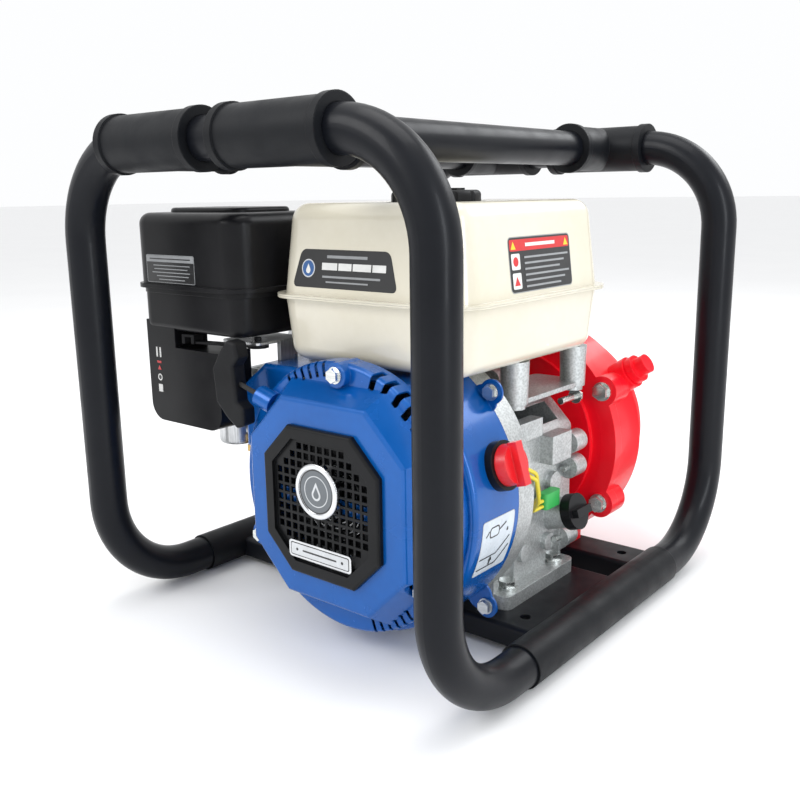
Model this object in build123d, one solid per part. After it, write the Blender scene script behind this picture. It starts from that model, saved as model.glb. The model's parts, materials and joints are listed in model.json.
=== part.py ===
from build123d import *
import os
from math import asin, cos, degrees, pi, radians, sin, sqrt

# Portable fire pump: a small four-stroke petrol engine driving a centrifugal pump inside a tube frame.
# Millimetres. Origin on the ground under the centre of the frame. +Z up, +Y towards the pump's suction
# side (the recoil starter faces -Y), +X to the side of the engine switch. The crankshaft lies along Y.

# ---------------------------------------------------------------- driving dimensions: frame
FRAME_W = 368.0          # leg centre to leg centre, across X
FRAME_D = 444.0          # leg centre to leg centre, along Y
FRAME_TOP = 402.4        # height of the top tubes' centre line
TUBE_R = 16.0
TUBE_WALL = 1.8
TOP_BEND = 76.0          # centre-line radius of the upper bends
LOW_BEND = 82.0          # centre-line radius of the lower bends
SLEEVE_WALL = 1.6        # wall of the ground tubes that slip over the hoops' ends
JOINT_Y = 122.0          # where each ground tube ends, from the middle
STUB_OVERLAP = 14.0      # length of hoop end inside a ground tube
TEE_WALL = 5.7
TEE_HALF = 52.0
TEE_BRANCH = 66.0
TEE_RIM = 1.5            # raised rim at each mouth of a tee
TEE_RIM_W = 7.0
TEE_STEP = 0.6           # the branch is this much slimmer than the sleeve
RAIL_X = (57.0, -74.0)
RAIL_STOP = 20.0         # rail end to the hoop's centre line

# ---------------------------------------------------------------- driving dimensions: cross plates
PLATE_TOP = 24.0
PLATE_T = 3.0
PLATE_DEPTH = 18.0
PLATE_BEND = 4.0
FRONT_PLATE_Y = (-82.0, 58.0)
REAR_PLATE_Y = (92.0, 134.0)
MOUNT_X = 150.0          # frame mounting holes, from the middle
FRONT_MOUNT_Y = -60.0
REAR_MOUNT_Y = 113.0
MOUNT_R = 4.5

# ---------------------------------------------------------------- driving dimensions: engine
CX = 42.0                # crankshaft axis
CRANK_H = 106.0          # crankshaft height above the engine's feet
CZ = PLATE_TOP + CRANK_H
CASE_X = (-34.0, 120.0)
CASE_Y = (-62.0, 48.0)
CASE_TOP = 192.0
CASE_WALL = 6.0
FOOT_T = 12.0
FOOT_X = (-58.0, 134.0)
FOOT_Y = (-62.0, 50.0)
FOOT_BOLT_X = (-44.0, 121.0)
FOOT_BOLT_Y = (-43.0, 33.0)
FOOT_BOLT_R = 4.0
SIDE_COVER_Y = 62.0      # outer face of the side cover
PTO_Y = 70.0             # face the pump is bolted to
JOURNAL_R = 12.5
BEARING_R = 26.0
BEARING_W = 15.0
FRONT_BEARING_Y = -47.0
REAR_BEARING_Y = 52.0
RUN_FIT = 0.04           # radial running clearance
BORE = 68.0
STROKE = 45.0
ROD_LEN = 84.0
CYL_Y = -8.0             # cylinder centre along the crankshaft
CYL_TILT = 25.0          # cylinder tilt above the -X direction
LINER_WALL = 3.0
DECK = 130.0             # crank axis to the head joint
HEAD_T = 44.0
ROCKER_T = 28.0
PIN_R = 9.0
CRANKPIN_R = 15.0
GEAR_MODULE = 2.0
CRANK_TEETH = 18
CAM_TEETH = 36
GEAR_Y = (22.0, 31.0)
CAM_R = 7.0

# ---------------------------------------------------------------- driving dimensions: blower and recoil
FAN_Y = (-142.0, -83.5)
FAN_TOP = 94.0           # flat top of the blower housing, above the shaft
FAN_R = 115.0
SHEET = 2.0
RECOIL_Y = -180.0        # front face of the recoil cover
RECOIL_R = 109.0
RECOIL_FACE_HALF = 80.0  # eight-sided raised face: half its width, and the corner cut
RECOIL_FACE_CUT = 37.0
RECOIL_FACE_SLOPE = 12.0  # how much wider the face is where it meets the skirt
GRILLE_HALF = 60.0
GRILLE_CUT = 27.0
GRILLE_T = 8.0
MESH_PITCH = 7.4
MESH_HOLE = 5.2
FLYWHEEL_R = 92.0
REEL_R = 50.0
ROPE_REEL_R = 41.0
ROPE_R = 2.0
ROPE_ANGLE = 160.0       # direction of the rope in the reel's plane, from +X

# ---------------------------------------------------------------- driving dimensions: tank
TANK_X = (-56.0, 149.0)
TANK_Y = (-144.0, 83.0)
TANK_SEAM = 282.6
TANK_LOW = 229.0
TANK_TOP = 356.0
TANK_RIM = 7.0           # width of the seam flange
TANK_SHEET = 1.5
CAP_XY = (70.0, -72.0)
CAP_R = 35.0
NECK_R = 22.0

# ---------------------------------------------------------------- driving dimensions: air cleaner
AIR_X = (-198.0, -58.0)
AIR_Y = (-168.0, -64.0)
AIR_SPLIT = 284.0
AIR_LOW = 247.0
AIR_TOP = 349.0
AIR_WALL = 2.5
DUCT_X = (-190.0, -92.0)
DUCT_LOW = 163.0
DUCT_BACK = -128.0
DUCT_SIDE = -150.0       # inner side of the duct's upper part
DUCT_STEP = 232.0        # top of the duct's wide lower part
CARB_X = -140.0
CARB_Y = (-126.0, -84.0)
CARB_Z = 187.0
BOWL_Z = (136.0, 168.0)
BOWL_R = 19.0
CONTROL_Z = 243.0        # top of the control plate
LEVER_PIVOT = (-68.0, -140.0)
LEVER_TIP = (-136.0, -156.0)

# ---------------------------------------------------------------- driving dimensions: muffler, switch
MUFFLER_X = (-172.0, -84.0)
MUFFLER_Y = (52.0, 116.0)
MUFFLER_Z = (168.0, 246.0)
SWITCH_ANGLE = 16.7
SWITCH_Y = -103.0
SWITCH_R = 17.0
SWITCH_DEEP = 12.0       # length of the switch's fixed base
KNOB_LEN = 9.0           # round part of the knob, below its grip

# ---------------------------------------------------------------- driving dimensions: pump
PUMP_COVER_Y = (92.0, 104.0)
PUMP_R = 108.0
PUMP_DRUM_Y = 142.0      # end of the full-width drum
PUMP_NOSE_Y = 178.0
PUMP_NOSE_R = 92.0
PUMP_WALL = 6.0
LOBE_R = 14.0
BOLT_CIRCLE = 107.0
SUCTION_Z = 40.0         # suction port above the shaft
PORT_R = 25.0
NIPPLE_R = 30.0
NIPPLE_LEN = 30.0
FLANGE_R = 44.0
FLANGE_T = 10.0
DISCHARGE_X = -8.5
DISCHARGE_Y = 146.0
DISCHARGE_FLANGE_Z = 246.0
IMPELLER_R = 68.0
IMPELLER_Y = (116.0, 142.0)
PLUG_ANGLE = 33.0
PLUG_Y = 128.0
PUMP_FOOT_X = 44.0       # pump foot bolts, either side of the shaft
GAP = 0.3                # clearance between bodies that move past each other

CYL_DIR = Vector(-cos(radians(CYL_TILT)), 0, sin(radians(CYL_TILT)))
CRANK_CENTRE = Vector(CX, CYL_Y, CZ)


# ---------------------------------------------------------------- helpers
def block(x, y, z):
    """Box between the low and high values given for each axis."""
    size = [abs(v[1] - v[0]) for v in (x, y, z)]
    return Pos((x[0] + x[1]) / 2, (y[0] + y[1]) / 2, (z[0] + z[1]) / 2) * Box(*size)


def rod(start, end, radius, end_radius=None):
    """Round bar, or a cone, from one point to another."""
    start, end = Vector(start), Vector(end)
    plane = Plane(origin=start, z_dir=(end - start).normalized())
    length = (end - start).length
    if end_radius is None:
        return plane * Pos(0, 0, length / 2) * Cylinder(radius, length)
    return plane * Pos(0, 0, length / 2) * Cone(radius, end_radius, length)


def ring(start, end, radius, bore):
    """Tube from one point to another."""
    return rod(start, end, radius) - rod(start, end, bore)


def disc_y(y, radius, x=CX, z=CZ):
    """Round bar along Y between two Y values."""
    return rod((x, y[0], z), (x, y[1], z), radius)


def soft_block(x, y, z, radius, top=0.0, bottom=0.0):
    """Box with rounded upright corners and, if asked, rounded top or bottom edges."""
    body = block(x, y, z)
    body = fillet(body.edges().filter_by(Axis.Z), radius)
    if top:
        body = fillet(body.faces().sort_by(Axis.Z)[-1].edges(), top)
    if bottom:
        body = fillet(body.faces().sort_by(Axis.Z)[0].edges(), bottom)
    return body


def shrink(span, amount):
    """A low and high value, brought together by an amount at each end."""
    return (span[0] + amount, span[1] - amount)


def polar(angle, radius, y, x=CX, z=CZ):
    """Point at an angle round an axis that lies along Y, measured from +X towards +Z."""
    return Vector(x + radius * cos(radians(angle)), y, z + radius * sin(radians(angle)))


def prism_y(points, y):
    """Flat outline in X and Z, made solid between two Y values."""
    face = make_face(Polyline(*[(px, y[0], pz) for px, pz in points], close=True))
    return extrude(face, amount=y[1] - y[0], dir=(0, 1, 0))


def octagon(half, cut, x=CX, z=CZ):
    """Corners of a square with its corners cut off."""
    low = half - cut
    corners = [(half, -low), (half, low), (low, half), (-low, half)]
    corners += [(-half, low), (-half, -low), (-low, -half), (low, -half)]
    return [(x + cx, z + cz) for cx, cz in corners]


def hex_bolt(seat, direction, size, shank):
    """Hexagon bolt with a washer: seat is where the washer lies, direction points out of the head."""
    plane = Plane(origin=Vector(seat), z_dir=Vector(direction).normalized())
    washer = Pos(0, 0, size * 0.12) * Cylinder(size * 1.1, size * 0.24)
    head = Pos(0, 0, size * 0.24) * extrude(RegularPolygon(size * 0.95, 6), amount=size * 0.62)
    stem = Pos(0, 0, -shank / 2) * Cylinder(size / 2, shank)
    return plane * (washer + head + stem)


def group(pieces):
    """Several separate solids as one node."""
    solids = []
    for piece in pieces:
        solids += piece.solids()
    return Compound(children=solids)


nodes = {}


# ---------------------------------------------------------------- frame
ground_z = TUBE_R + SLEEVE_WALL
leg_x = FRAME_W / 2
leg_y = FRAME_D / 2


def hoop(side):
    """One bent hoop; side is -1 for the recoil end and +1 for the pump end."""
    y = side * leg_y
    end = side * (JOINT_Y - STUB_OVERLAP)
    points = [(leg_x, end, ground_z), (leg_x, y, ground_z), (leg_x, y, FRAME_TOP)]
    points += [(-px, py, pz) for px, py, pz in reversed(points)]
    path = FilletPolyline(*points, radius=[LOW_BEND, TOP_BEND, TOP_BEND, LOW_BEND])
    section = Plane(origin=points[0], z_dir=(0, side, 0))
    outer = sweep(section * Circle(TUBE_R), path=path)
    inner = sweep(section * Circle(TUBE_R - TUBE_WALL), path=path)
    return outer - inner


def tee(x, side):
    """Tee fitting round a hoop's top tube, with its branch towards the other hoop."""
    y = side * leg_y
    radius = TUBE_R + TEE_WALL
    mouth = y - side * TEE_BRANCH
    body = rod((x - TEE_HALF, y, FRAME_TOP), (x + TEE_HALF, y, FRAME_TOP), radius)
    body += rod((x, y, FRAME_TOP), (x, mouth, FRAME_TOP), radius - TEE_STEP)
    for end in (-1, 1):
        edge = x + end * TEE_HALF
        body += rod((edge, y, FRAME_TOP), (edge - end * TEE_RIM_W, y, FRAME_TOP), radius + TEE_RIM)
    body += rod((x, mouth, FRAME_TOP), (x, mouth + side * TEE_RIM_W, FRAME_TOP), radius + TEE_RIM)
    body -= rod((x - TEE_HALF - 1, y, FRAME_TOP), (x + TEE_HALF + 1, y, FRAME_TOP), TUBE_R)
    body -= rod((x, y - side * RAIL_STOP, FRAME_TOP), (x, mouth - side, FRAME_TOP), TUBE_R)
    return body


def cross_plate(y_range, holes, cutouts=()):
    """Folded sheet channel between the ground tubes, its ends shaped to the tubes."""
    outer = block((-leg_x, leg_x), y_range, (PLATE_TOP - PLATE_DEPTH, PLATE_TOP))
    top_edges = outer.faces().sort_by(Axis.Z)[-1].edges().filter_by(Axis.X)
    outer = fillet(top_edges, PLATE_BEND)
    inside_y = (y_range[0] + PLATE_T, y_range[1] - PLATE_T)
    plate = outer - block((-leg_x, leg_x), inside_y, (0, PLATE_TOP - PLATE_T))
    for side in (-1, 1):
        x = side * leg_x
        plate -= rod((x, -leg_y, ground_z), (x, leg_y, ground_z), TUBE_R + SLEEVE_WALL)
        plate -= block((min(x, x * 2), max(x, x * 2)), (-leg_y, leg_y), (0, FRAME_TOP))
    for x, y, radius in holes:
        plate -= rod((x, y, 0), (x, y, PLATE_TOP + 1), radius)
    for x_range, cut_y in cutouts:
        plate -= block(x_range, cut_y, (0, PLATE_TOP + 1))
    return plate.solids().sort_by(SortBy.VOLUME)[-1]


nodes["front_hoop"] = hoop(-1)
nodes["rear_hoop"] = hoop(1)
nodes["ground_tubes"] = group(
    ring((x, -JOINT_Y, ground_z), (x, JOINT_Y, ground_z), TUBE_R + SLEEVE_WALL, TUBE_R)
    for x in (-leg_x, leg_x)
)
nodes["tee_fittings"] = group(tee(x, side) for x in RAIL_X for side in (-1, 1))
rail_end = leg_y - RAIL_STOP
nodes["top_rails"] = group(
    ring((x, -rail_end, FRAME_TOP), (x, rail_end, FRAME_TOP), TUBE_R, TUBE_R - TUBE_WALL)
    for x in RAIL_X
)
foot_holes = [(x, y, FOOT_BOLT_R) for x in FOOT_BOLT_X for y in FOOT_BOLT_Y]
front_holes = foot_holes + [(side * MOUNT_X, FRONT_MOUNT_Y, MOUNT_R) for side in (-1, 1)]
rear_holes = [(side * MOUNT_X, REAR_MOUNT_Y, MOUNT_R) for side in (-1, 1)]
rear_holes += [(CX + side * PUMP_FOOT_X, REAR_MOUNT_Y, FOOT_BOLT_R) for side in (-1, 1)]
nodes["front_cross_plate"] = cross_plate(FRONT_PLATE_Y, front_holes)
nodes["rear_cross_plate"] = cross_plate(REAR_PLATE_Y, rear_holes)


# ---------------------------------------------------------------- crankcase and cylinder
LOW_TAB_UP = 13.1        # lower tab's bolt above the cross plate
low_tab_angle = -degrees(asin((CRANK_H - LOW_TAB_UP) / (FAN_R + 12.0)))
FAN_TABS = ((43, FAN_R + 8.0), (low_tab_angle, FAN_R + 12.0), (205, FAN_R + 8.0))
fan_tabs = [polar(angle, radius, 0) for angle, radius in FAN_TABS]


def along_cylinder(distance, y=CYL_Y):
    """Point on the cylinder's axis, at a distance from the crankshaft."""
    return Vector(CX, y, CZ) + CYL_DIR * distance


CYL_PLANE = Plane(origin=CRANK_CENTRE, z_dir=CYL_DIR, x_dir=(0, 1, 0))


def cyl_block(half_y, half_up, low, high, radius=6.0):
    """Rounded block on the cylinder's axis, from one distance to another."""
    body = Pos(0, 0, (low + high) / 2) * Box(half_y * 2, half_up * 2, high - low)
    body = fillet(body.edges().filter_by(Axis.Z), radius)
    return CYL_PLANE * body


FIN_T = 2.4
FIN_PITCH = 7.5
FIN_HALF_Y = 50.0
FIN_HALF_UP = 49.0
barrel_start = 62.0
liner_r = BORE / 2 + LINER_WALL
barrel_r = liner_r + 6.0

crankcase = block(CASE_X, CASE_Y, (PLATE_TOP + FOOT_T / 2, CASE_TOP))
crankcase = chamfer(crankcase.edges().filter_by(Axis.Y).sort_by(Axis.Z)[-2:], 34.0)
crankcase = fillet(crankcase.edges().filter_by(Axis.Y), 8.0)
foot = block(FOOT_X, FOOT_Y, (PLATE_TOP, PLATE_TOP + FOOT_T))
foot = fillet(foot.edges().filter_by(Axis.Z), 8.0)
crankcase += foot
# open ring at the front that the blower housing is bolted to
shroud = disc_y((FAN_Y[1], CASE_Y[0] + 2), FAN_R - 1) - disc_y((FAN_Y[1] - 1, CASE_Y[0] - 4), FAN_R - 6)
for point in fan_tabs:
    shroud += disc_y((FAN_Y[1], FAN_Y[1] + 12), 9, point.X, point.Z) - disc_y(
        (FAN_Y[1] - 1, CASE_Y[0] - 4), FAN_R - 3
    )
shroud &= block((-200, 300), (-200, 0), (PLATE_TOP + GAP, CZ + FAN_TOP))
crankcase += shroud
crankcase += rod(along_cylinder(barrel_start - 20), along_cylinder(DECK), barrel_r)
for index in range(8):
    fin = barrel_start + 8 + index * FIN_PITCH
    crankcase += cyl_block(FIN_HALF_Y, FIN_HALF_UP, fin, fin + FIN_T)
# raised oil filler neck low on the pump side, and the bosses beside it
OIL_Y = 30.0
OIL_Z = 82.0
OIL_NECK_R = 14.0
OIL_NECK_X = 138.0
crankcase += rod((CASE_X[1] - 12, OIL_Y, OIL_Z - 5), (OIL_NECK_X, OIL_Y, OIL_Z + 4), OIL_NECK_R)
for y, z, radius in ((28, 112, 9), (-20, 60, 8), (20, 58, 8)):
    crankcase += rod((CASE_X[1] - 4, y, z), (CASE_X[1] + 5, y, z), radius)
crankcase += block((CASE_X[1] - 4, CASE_X[1] + 13), (8, 40), (133, 158))
crankcase += block((CASE_X[1] - 30, CASE_X[1] + 6), (-34, 2), (160, 176))
inner_y = (CASE_Y[0] + CASE_WALL, CASE_Y[1] + 1)
cavity_x = shrink(CASE_X, CASE_WALL)
crankcase -= block(cavity_x, inner_y, (PLATE_TOP + FOOT_T + 34, CASE_TOP - 14))
crankcase -= block(shrink(CASE_X, CASE_WALL + 14), inner_y, (PLATE_TOP + FOOT_T - 3, CASE_TOP - 14))
crankcase -= disc_y((FAN_Y[1], CASE_Y[1] + 1), BEARING_R)
crankcase -= rod(along_cylinder(20), along_cylinder(DECK + 1), liner_r)
crankcase -= rod(along_cylinder(0), along_cylinder(DECK / 2), liner_r + 12)
oil_bore_r = 9.0
oil_dir = Vector(OIL_NECK_X - CASE_X[1] + 12, 0, 9).normalized()
oil_mouth = Vector(OIL_NECK_X, OIL_Y, OIL_Z + 4)
crankcase -= rod(oil_mouth + oil_dir, oil_mouth - oil_dir * 40, oil_bore_r)
for x in FOOT_BOLT_X:
    for y in FOOT_BOLT_Y:
        crankcase -= rod((x, y, 0), (x, y, PLATE_TOP + FOOT_T + 1), FOOT_BOLT_R)
        crankcase -= rod((x, y, PLATE_TOP + FOOT_T), (x, y, PLATE_TOP + FOOT_T + 26), FOOT_BOLT_R * 2 + 4)
nodes["crankcase"] = crankcase.solids().sort_by(SortBy.VOLUME)[-1]

nodes["cylinder_liner"] = ring(
    along_cylinder(barrel_start), along_cylinder(DECK), liner_r, BORE / 2
)

# side cover with its ring of bolt bosses and the flange that carries the pump
SIDE_BOSS_R = 10.0
side_boss_points = [(CASE_X[1] + 1, CZ + 52), (CASE_X[1] + 5, CZ + 13), (CASE_X[1] + 5, CZ - 10)]
side_boss_points += [(CASE_X[0] + 4, 64), (CASE_X[0] + 4, 150), (CX, CASE_TOP - 2), (CASE_X[1] - 2, 52)]
cover_x = (CASE_X[0], CASE_X[1])
side_cover = block(cover_x, (CASE_Y[1], SIDE_COVER_Y), (PLATE_TOP + FOOT_T, CASE_TOP))
side_cover = chamfer(side_cover.edges().filter_by(Axis.Y).sort_by(Axis.Z)[-2:], 34.0)
side_cover = fillet(side_cover.edges().filter_by(Axis.Y), 8.0)
for x, z in side_boss_points:
    side_cover += disc_y((CASE_Y[1], SIDE_COVER_Y + 4), SIDE_BOSS_R, x, z)
PTO_R = 52.0
side_cover += disc_y((SIDE_COVER_Y - 4, PTO_Y), PTO_R)
inner_x = shrink(CASE_X, CASE_WALL + 14)
side_cover -= block(inner_x, (CASE_Y[1] - 1, CASE_Y[1] + 3), (PLATE_TOP + FOOT_T + CASE_WALL, CASE_TOP - 44))
side_cover -= disc_y((CASE_Y[1] - 1, REAR_BEARING_Y + BEARING_W / 2), BEARING_R)
seal_r = 17.0
side_cover -= disc_y((CASE_Y[1], PTO_Y + 1), seal_r)
side_bolt_r = 3.0
for x, z in side_boss_points:
    side_cover -= disc_y((CASE_Y[1] - 1, SIDE_COVER_Y + 5), side_bolt_r, x, z)
for x, z in side_boss_points:
    nodes["crankcase"] -= disc_y((CASE_Y[1] - 12, CASE_Y[1] + 1), side_bolt_r, x, z)
nodes["crankcase"] = nodes["crankcase"].solids().sort_by(SortBy.VOLUME)[-1]
nodes["side_cover"] = side_cover.solids().sort_by(SortBy.VOLUME)[-1]

nodes["main_bearings"] = group(
    ring((CX, y - BEARING_W / 2, CZ), (CX, y + BEARING_W / 2, CZ), BEARING_R, JOURNAL_R + RUN_FIT)
    for y in (FRONT_BEARING_Y, REAR_BEARING_Y)
)

# cylinder head with cooling fins, ports at the two sides, and the rocker cover
head = cyl_block(36, 36, DECK, DECK + HEAD_T)
for index in range(5):
    fin = DECK + 3 + index * FIN_PITCH
    head += cyl_block(FIN_HALF_Y, FIN_HALF_UP, fin, fin + FIN_T)
PORT_DIST = DECK + 30.0
port_centre = along_cylinder(PORT_DIST)
INTAKE_Y = -64.0
EXHAUST_Y = 48.0
PORT_BOSS_R = 13.5
head += disc_y((INTAKE_Y, EXHAUST_Y), PORT_BOSS_R, port_centre.X, port_centre.Z)
head -= rod((port_centre.X, -24, port_centre.Z), (port_centre.X, INTAKE_Y - 1, port_centre.Z), 10)
head -= rod((port_centre.X, 12, port_centre.Z), (port_centre.X, EXHAUST_Y + 1, port_centre.Z), 11)
plug_thread_r = 7.0
plug_foot = along_cylinder(DECK + 4, CYL_Y + 4)
plug_dir = (CYL_DIR + Vector(-0.35, -0.25, -0.9)).normalized()
head -= rod(plug_foot - plug_dir * 8, plug_foot + plug_dir * 60, plug_thread_r)
head -= rod(plug_foot + plug_dir * 40, plug_foot + plug_dir * 90, 12)
head -= rod(plug_foot + plug_dir * 66, plug_foot + plug_dir * 74 + Vector(0, -26, 4), 12)
head -= rod(along_cylinder(DECK - 1), along_cylinder(DECK + 5), BORE / 2 - 4)
nodes["cylinder_head"] = head.solids().sort_by(SortBy.VOLUME)[-1]

rocker = cyl_block(38, 33, DECK + HEAD_T, DECK + HEAD_T + ROCKER_T, 10)
rocker = fillet(rocker.faces().sort_by(Axis(CRANK_CENTRE, CYL_DIR))[-1].edges(), 5.0)
rocker -= cyl_block(36, 31, DECK + HEAD_T - 1, DECK + HEAD_T + ROCKER_T - SHEET, 8)
rocker -= rod(plug_foot + plug_dir * 40, plug_foot + plug_dir * 90, 12)
nodes["rocker_cover"] = rocker.solids().sort_by(SortBy.VOLUME)[-1]

plug_seat = plug_foot + plug_dir * 40
spark_plug = rod(plug_foot, plug_seat, plug_thread_r - 0.5)
spark_plug += rod(plug_seat, plug_seat + plug_dir * 8, 10)
spark_plug += rod(plug_seat + plug_dir * 8, plug_seat + plug_dir * 26, 5)
nodes["spark_plug"] = spark_plug
cap_start = plug_seat + plug_dir * 9
cap_end = plug_seat + plug_dir * 34
plug_cap = rod(cap_start, cap_end, 10) + rod(cap_end, cap_end + Vector(0, -26, 4), 8)
plug_cap -= rod(cap_start - plug_dir, cap_start + plug_dir * 17, 5)
nodes["plug_cap"] = plug_cap


# ---------------------------------------------------------------- crank, rod, piston, camshaft
def gear(teeth, width_y, x, z, bore, turn=0.0):
    """Spur gear along Y with simple tapered teeth."""
    pitch = teeth * GEAR_MODULE / 2
    root = pitch - 1.25 * GEAR_MODULE
    tip = pitch + 0.9 * GEAR_MODULE
    root_half = 0.27 * 360 / teeth
    tip_half = 0.10 * 360 / teeth
    outline = []
    for index in range(teeth):
        mid = turn + index * 360 / teeth
        for angle, radius in (
            (mid - root_half, root),
            (mid - tip_half, tip),
            (mid + tip_half, tip),
            (mid + root_half, root),
        ):
            outline.append((x + radius * cos(radians(angle)), z + radius * sin(radians(angle))))
    return prism_y(outline, width_y) - disc_y((width_y[0] - 1, width_y[1] + 1), bore, x, z)


throw = STROKE / 2
pin_centre = along_cylinder(throw)
WEB_R = 38.0
WEB_T = 13.0
ROD_W = 22.0
web_inner = ROD_W / 2 + 0.6
crankshaft = disc_y((-140, CYL_Y - web_inner - WEB_T), JOURNAL_R)
crankshaft += disc_y((CYL_Y + web_inner + WEB_T, PTO_Y), JOURNAL_R)
SHAFT_R = 9.5
crankshaft += disc_y((PTO_Y, IMPELLER_Y[1] + 4), SHAFT_R)
for side in (-1, 1):
    near = CYL_Y + side * web_inner
    far = near + side * WEB_T
    web = disc_y((min(near, far), max(near, far)), WEB_R, CX - CYL_DIR.X * 4, CZ - CYL_DIR.Z * 4)
    crankshaft += web + disc_y((min(near, far), max(near, far)), CRANKPIN_R + 6, pin_centre.X, pin_centre.Z)
crankshaft += disc_y((CYL_Y - web_inner - 1, CYL_Y + web_inner + 1), CRANKPIN_R, pin_centre.X, pin_centre.Z)
crank_pitch = CRANK_TEETH * GEAR_MODULE / 2
cam_pitch = CAM_TEETH * GEAR_MODULE / 2
gear_gap = 0.2
cam_x = CX
cam_z = CZ - crank_pitch - cam_pitch - gear_gap
crankshaft += gear(CRANK_TEETH, GEAR_Y, CX, CZ, JOURNAL_R - 1, -90)
nodes["crankshaft"] = crankshaft.solids().sort_by(SortBy.VOLUME)[-1]

cam_turn = 90 + 180 / CAM_TEETH
camshaft = gear(CAM_TEETH, GEAR_Y, cam_x, cam_z, CAM_R - 1, cam_turn)
camshaft += disc_y((CASE_Y[0] + CASE_WALL + GAP, CASE_Y[1] - GAP), CAM_R, cam_x, cam_z)
for lobe_y, angle in ((-14, 60), (2, 150)):
    nose = polar(angle, 6, lobe_y, cam_x, cam_z)
    camshaft += disc_y((lobe_y, lobe_y + 8), 10, cam_x, cam_z)
    camshaft += disc_y((lobe_y, lobe_y + 8), 6, nose.X, nose.Z)
nodes["camshaft"] = camshaft.solids().sort_by(SortBy.VOLUME)[-1]

small_end = along_cylinder(throw + ROD_LEN)
rod_half = ROD_W / 2
conrod = disc_y((CYL_Y - rod_half, CYL_Y + rod_half), CRANKPIN_R + 8, pin_centre.X, pin_centre.Z)
conrod += disc_y((CYL_Y - rod_half, CYL_Y + rod_half), PIN_R + 5, small_end.X, small_end.Z)
shank = Pos(0, 0, throw + ROD_LEN / 2) * Box(9, 16, ROD_LEN - 10)
conrod += CYL_PLANE * shank
conrod -= disc_y((CYL_Y - 20, CYL_Y + 20), CRANKPIN_R + RUN_FIT, pin_centre.X, pin_centre.Z)
conrod -= disc_y((CYL_Y - 20, CYL_Y + 20), PIN_R + RUN_FIT, small_end.X, small_end.Z)
nodes["connecting_rod"] = conrod.solids().sort_by(SortBy.VOLUME)[-1]

PISTON_R = BORE / 2 - 0.05
CROWN = 20.0
SKIRT = 20.0
piston = rod(along_cylinder(throw + ROD_LEN - SKIRT), along_cylinder(throw + ROD_LEN + CROWN), PISTON_R)
piston -= rod(
    along_cylinder(throw + ROD_LEN - SKIRT - 1), along_cylinder(throw + ROD_LEN + CROWN - 5), PISTON_R - 4
)
for index in range(3):
    groove = throw + ROD_LEN + CROWN - 4 - index * 4
    piston -= ring(along_cylinder(groove), along_cylinder(groove - 1.6), PISTON_R + 1, PISTON_R - 2.5)
for side in (-1, 1):
    low = CYL_Y + side * (rod_half + 1)
    high = CYL_Y + side * (PISTON_R - 5)
    boss = disc_y((min(low, high), max(low, high)), PIN_R + 4, small_end.X, small_end.Z)
    piston += boss
piston -= disc_y((CYL_Y - 40, CYL_Y + 40), PIN_R, small_end.X, small_end.Z)
nodes["piston"] = piston.solids().sort_by(SortBy.VOLUME)[-1]
nodes["piston_pin"] = ring(
    (small_end.X, CYL_Y - PISTON_R + 6, small_end.Z), (small_end.X, CYL_Y + PISTON_R - 6, small_end.Z), PIN_R, 5
)


# ---------------------------------------------------------------- flywheel, starter cup, ignition coil
flywheel = disc_y((-112, -98), FLYWHEEL_R - 14) + disc_y((-118, -92), 30)
flywheel -= disc_y((-119, -91), JOURNAL_R)
BLADES = 20
for index in range(BLADES):
    angle = index * 360 / BLADES
    blade = block((CX + 48, CX + FLYWHEEL_R - 4), (-128, -111), (CZ - 1.2, CZ + 1.2))
    flywheel += Pos(CX, 0, CZ) * Rot(0, angle, 0) * Pos(-CX, 0, -CZ) * blade
nodes["flywheel"] = flywheel.solids().sort_by(SortBy.VOLUME)[-1]
CUP_R = 36.0
cup = disc_y((-136, -118), CUP_R) - disc_y((-137, -121), CUP_R - SHEET) - disc_y((-122, -117), JOURNAL_R)
nodes["starter_cup"] = cup
coil_y = (-110, -92)
coil_angle = 35.0
coil_mid = (FLYWHEEL_R - 14 + 0.6 + 9)
coil = block((CX + coil_mid - 9, CX + coil_mid + 9), coil_y, (CZ - 20, CZ + 20))
coil -= disc_y((coil_y[0] - 1, coil_y[1] + 1), FLYWHEEL_R - 14 + 0.5)
nodes["ignition_coil"] = Pos(CX, 0, CZ) * Rot(0, -coil_angle, 0) * Pos(-CX, 0, -CZ) * coil


# ---------------------------------------------------------------- fan cover and recoil cover
DUCT_EDGE = -88.0        # cylinder side of the blower's duct


def fan_outline(inset, y):
    """Blower housing: a drum with a duct towards the cylinder, made smaller by an inset."""
    drum = disc_y(y, FAN_R - inset)
    drum &= block((-200, 300), (-300, 300), (0, CZ + FAN_TOP - inset))
    corners = [
        (DUCT_EDGE + inset, CZ + 18 + inset),
        (DUCT_EDGE + inset, CZ + FAN_TOP - 20 - inset),
        (DUCT_EDGE + 26 + inset, CZ + FAN_TOP - inset),
        (CX, CZ + FAN_TOP - inset),
        (CX, CZ - 20),
    ]
    return drum + prism_y(corners, y)


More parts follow.
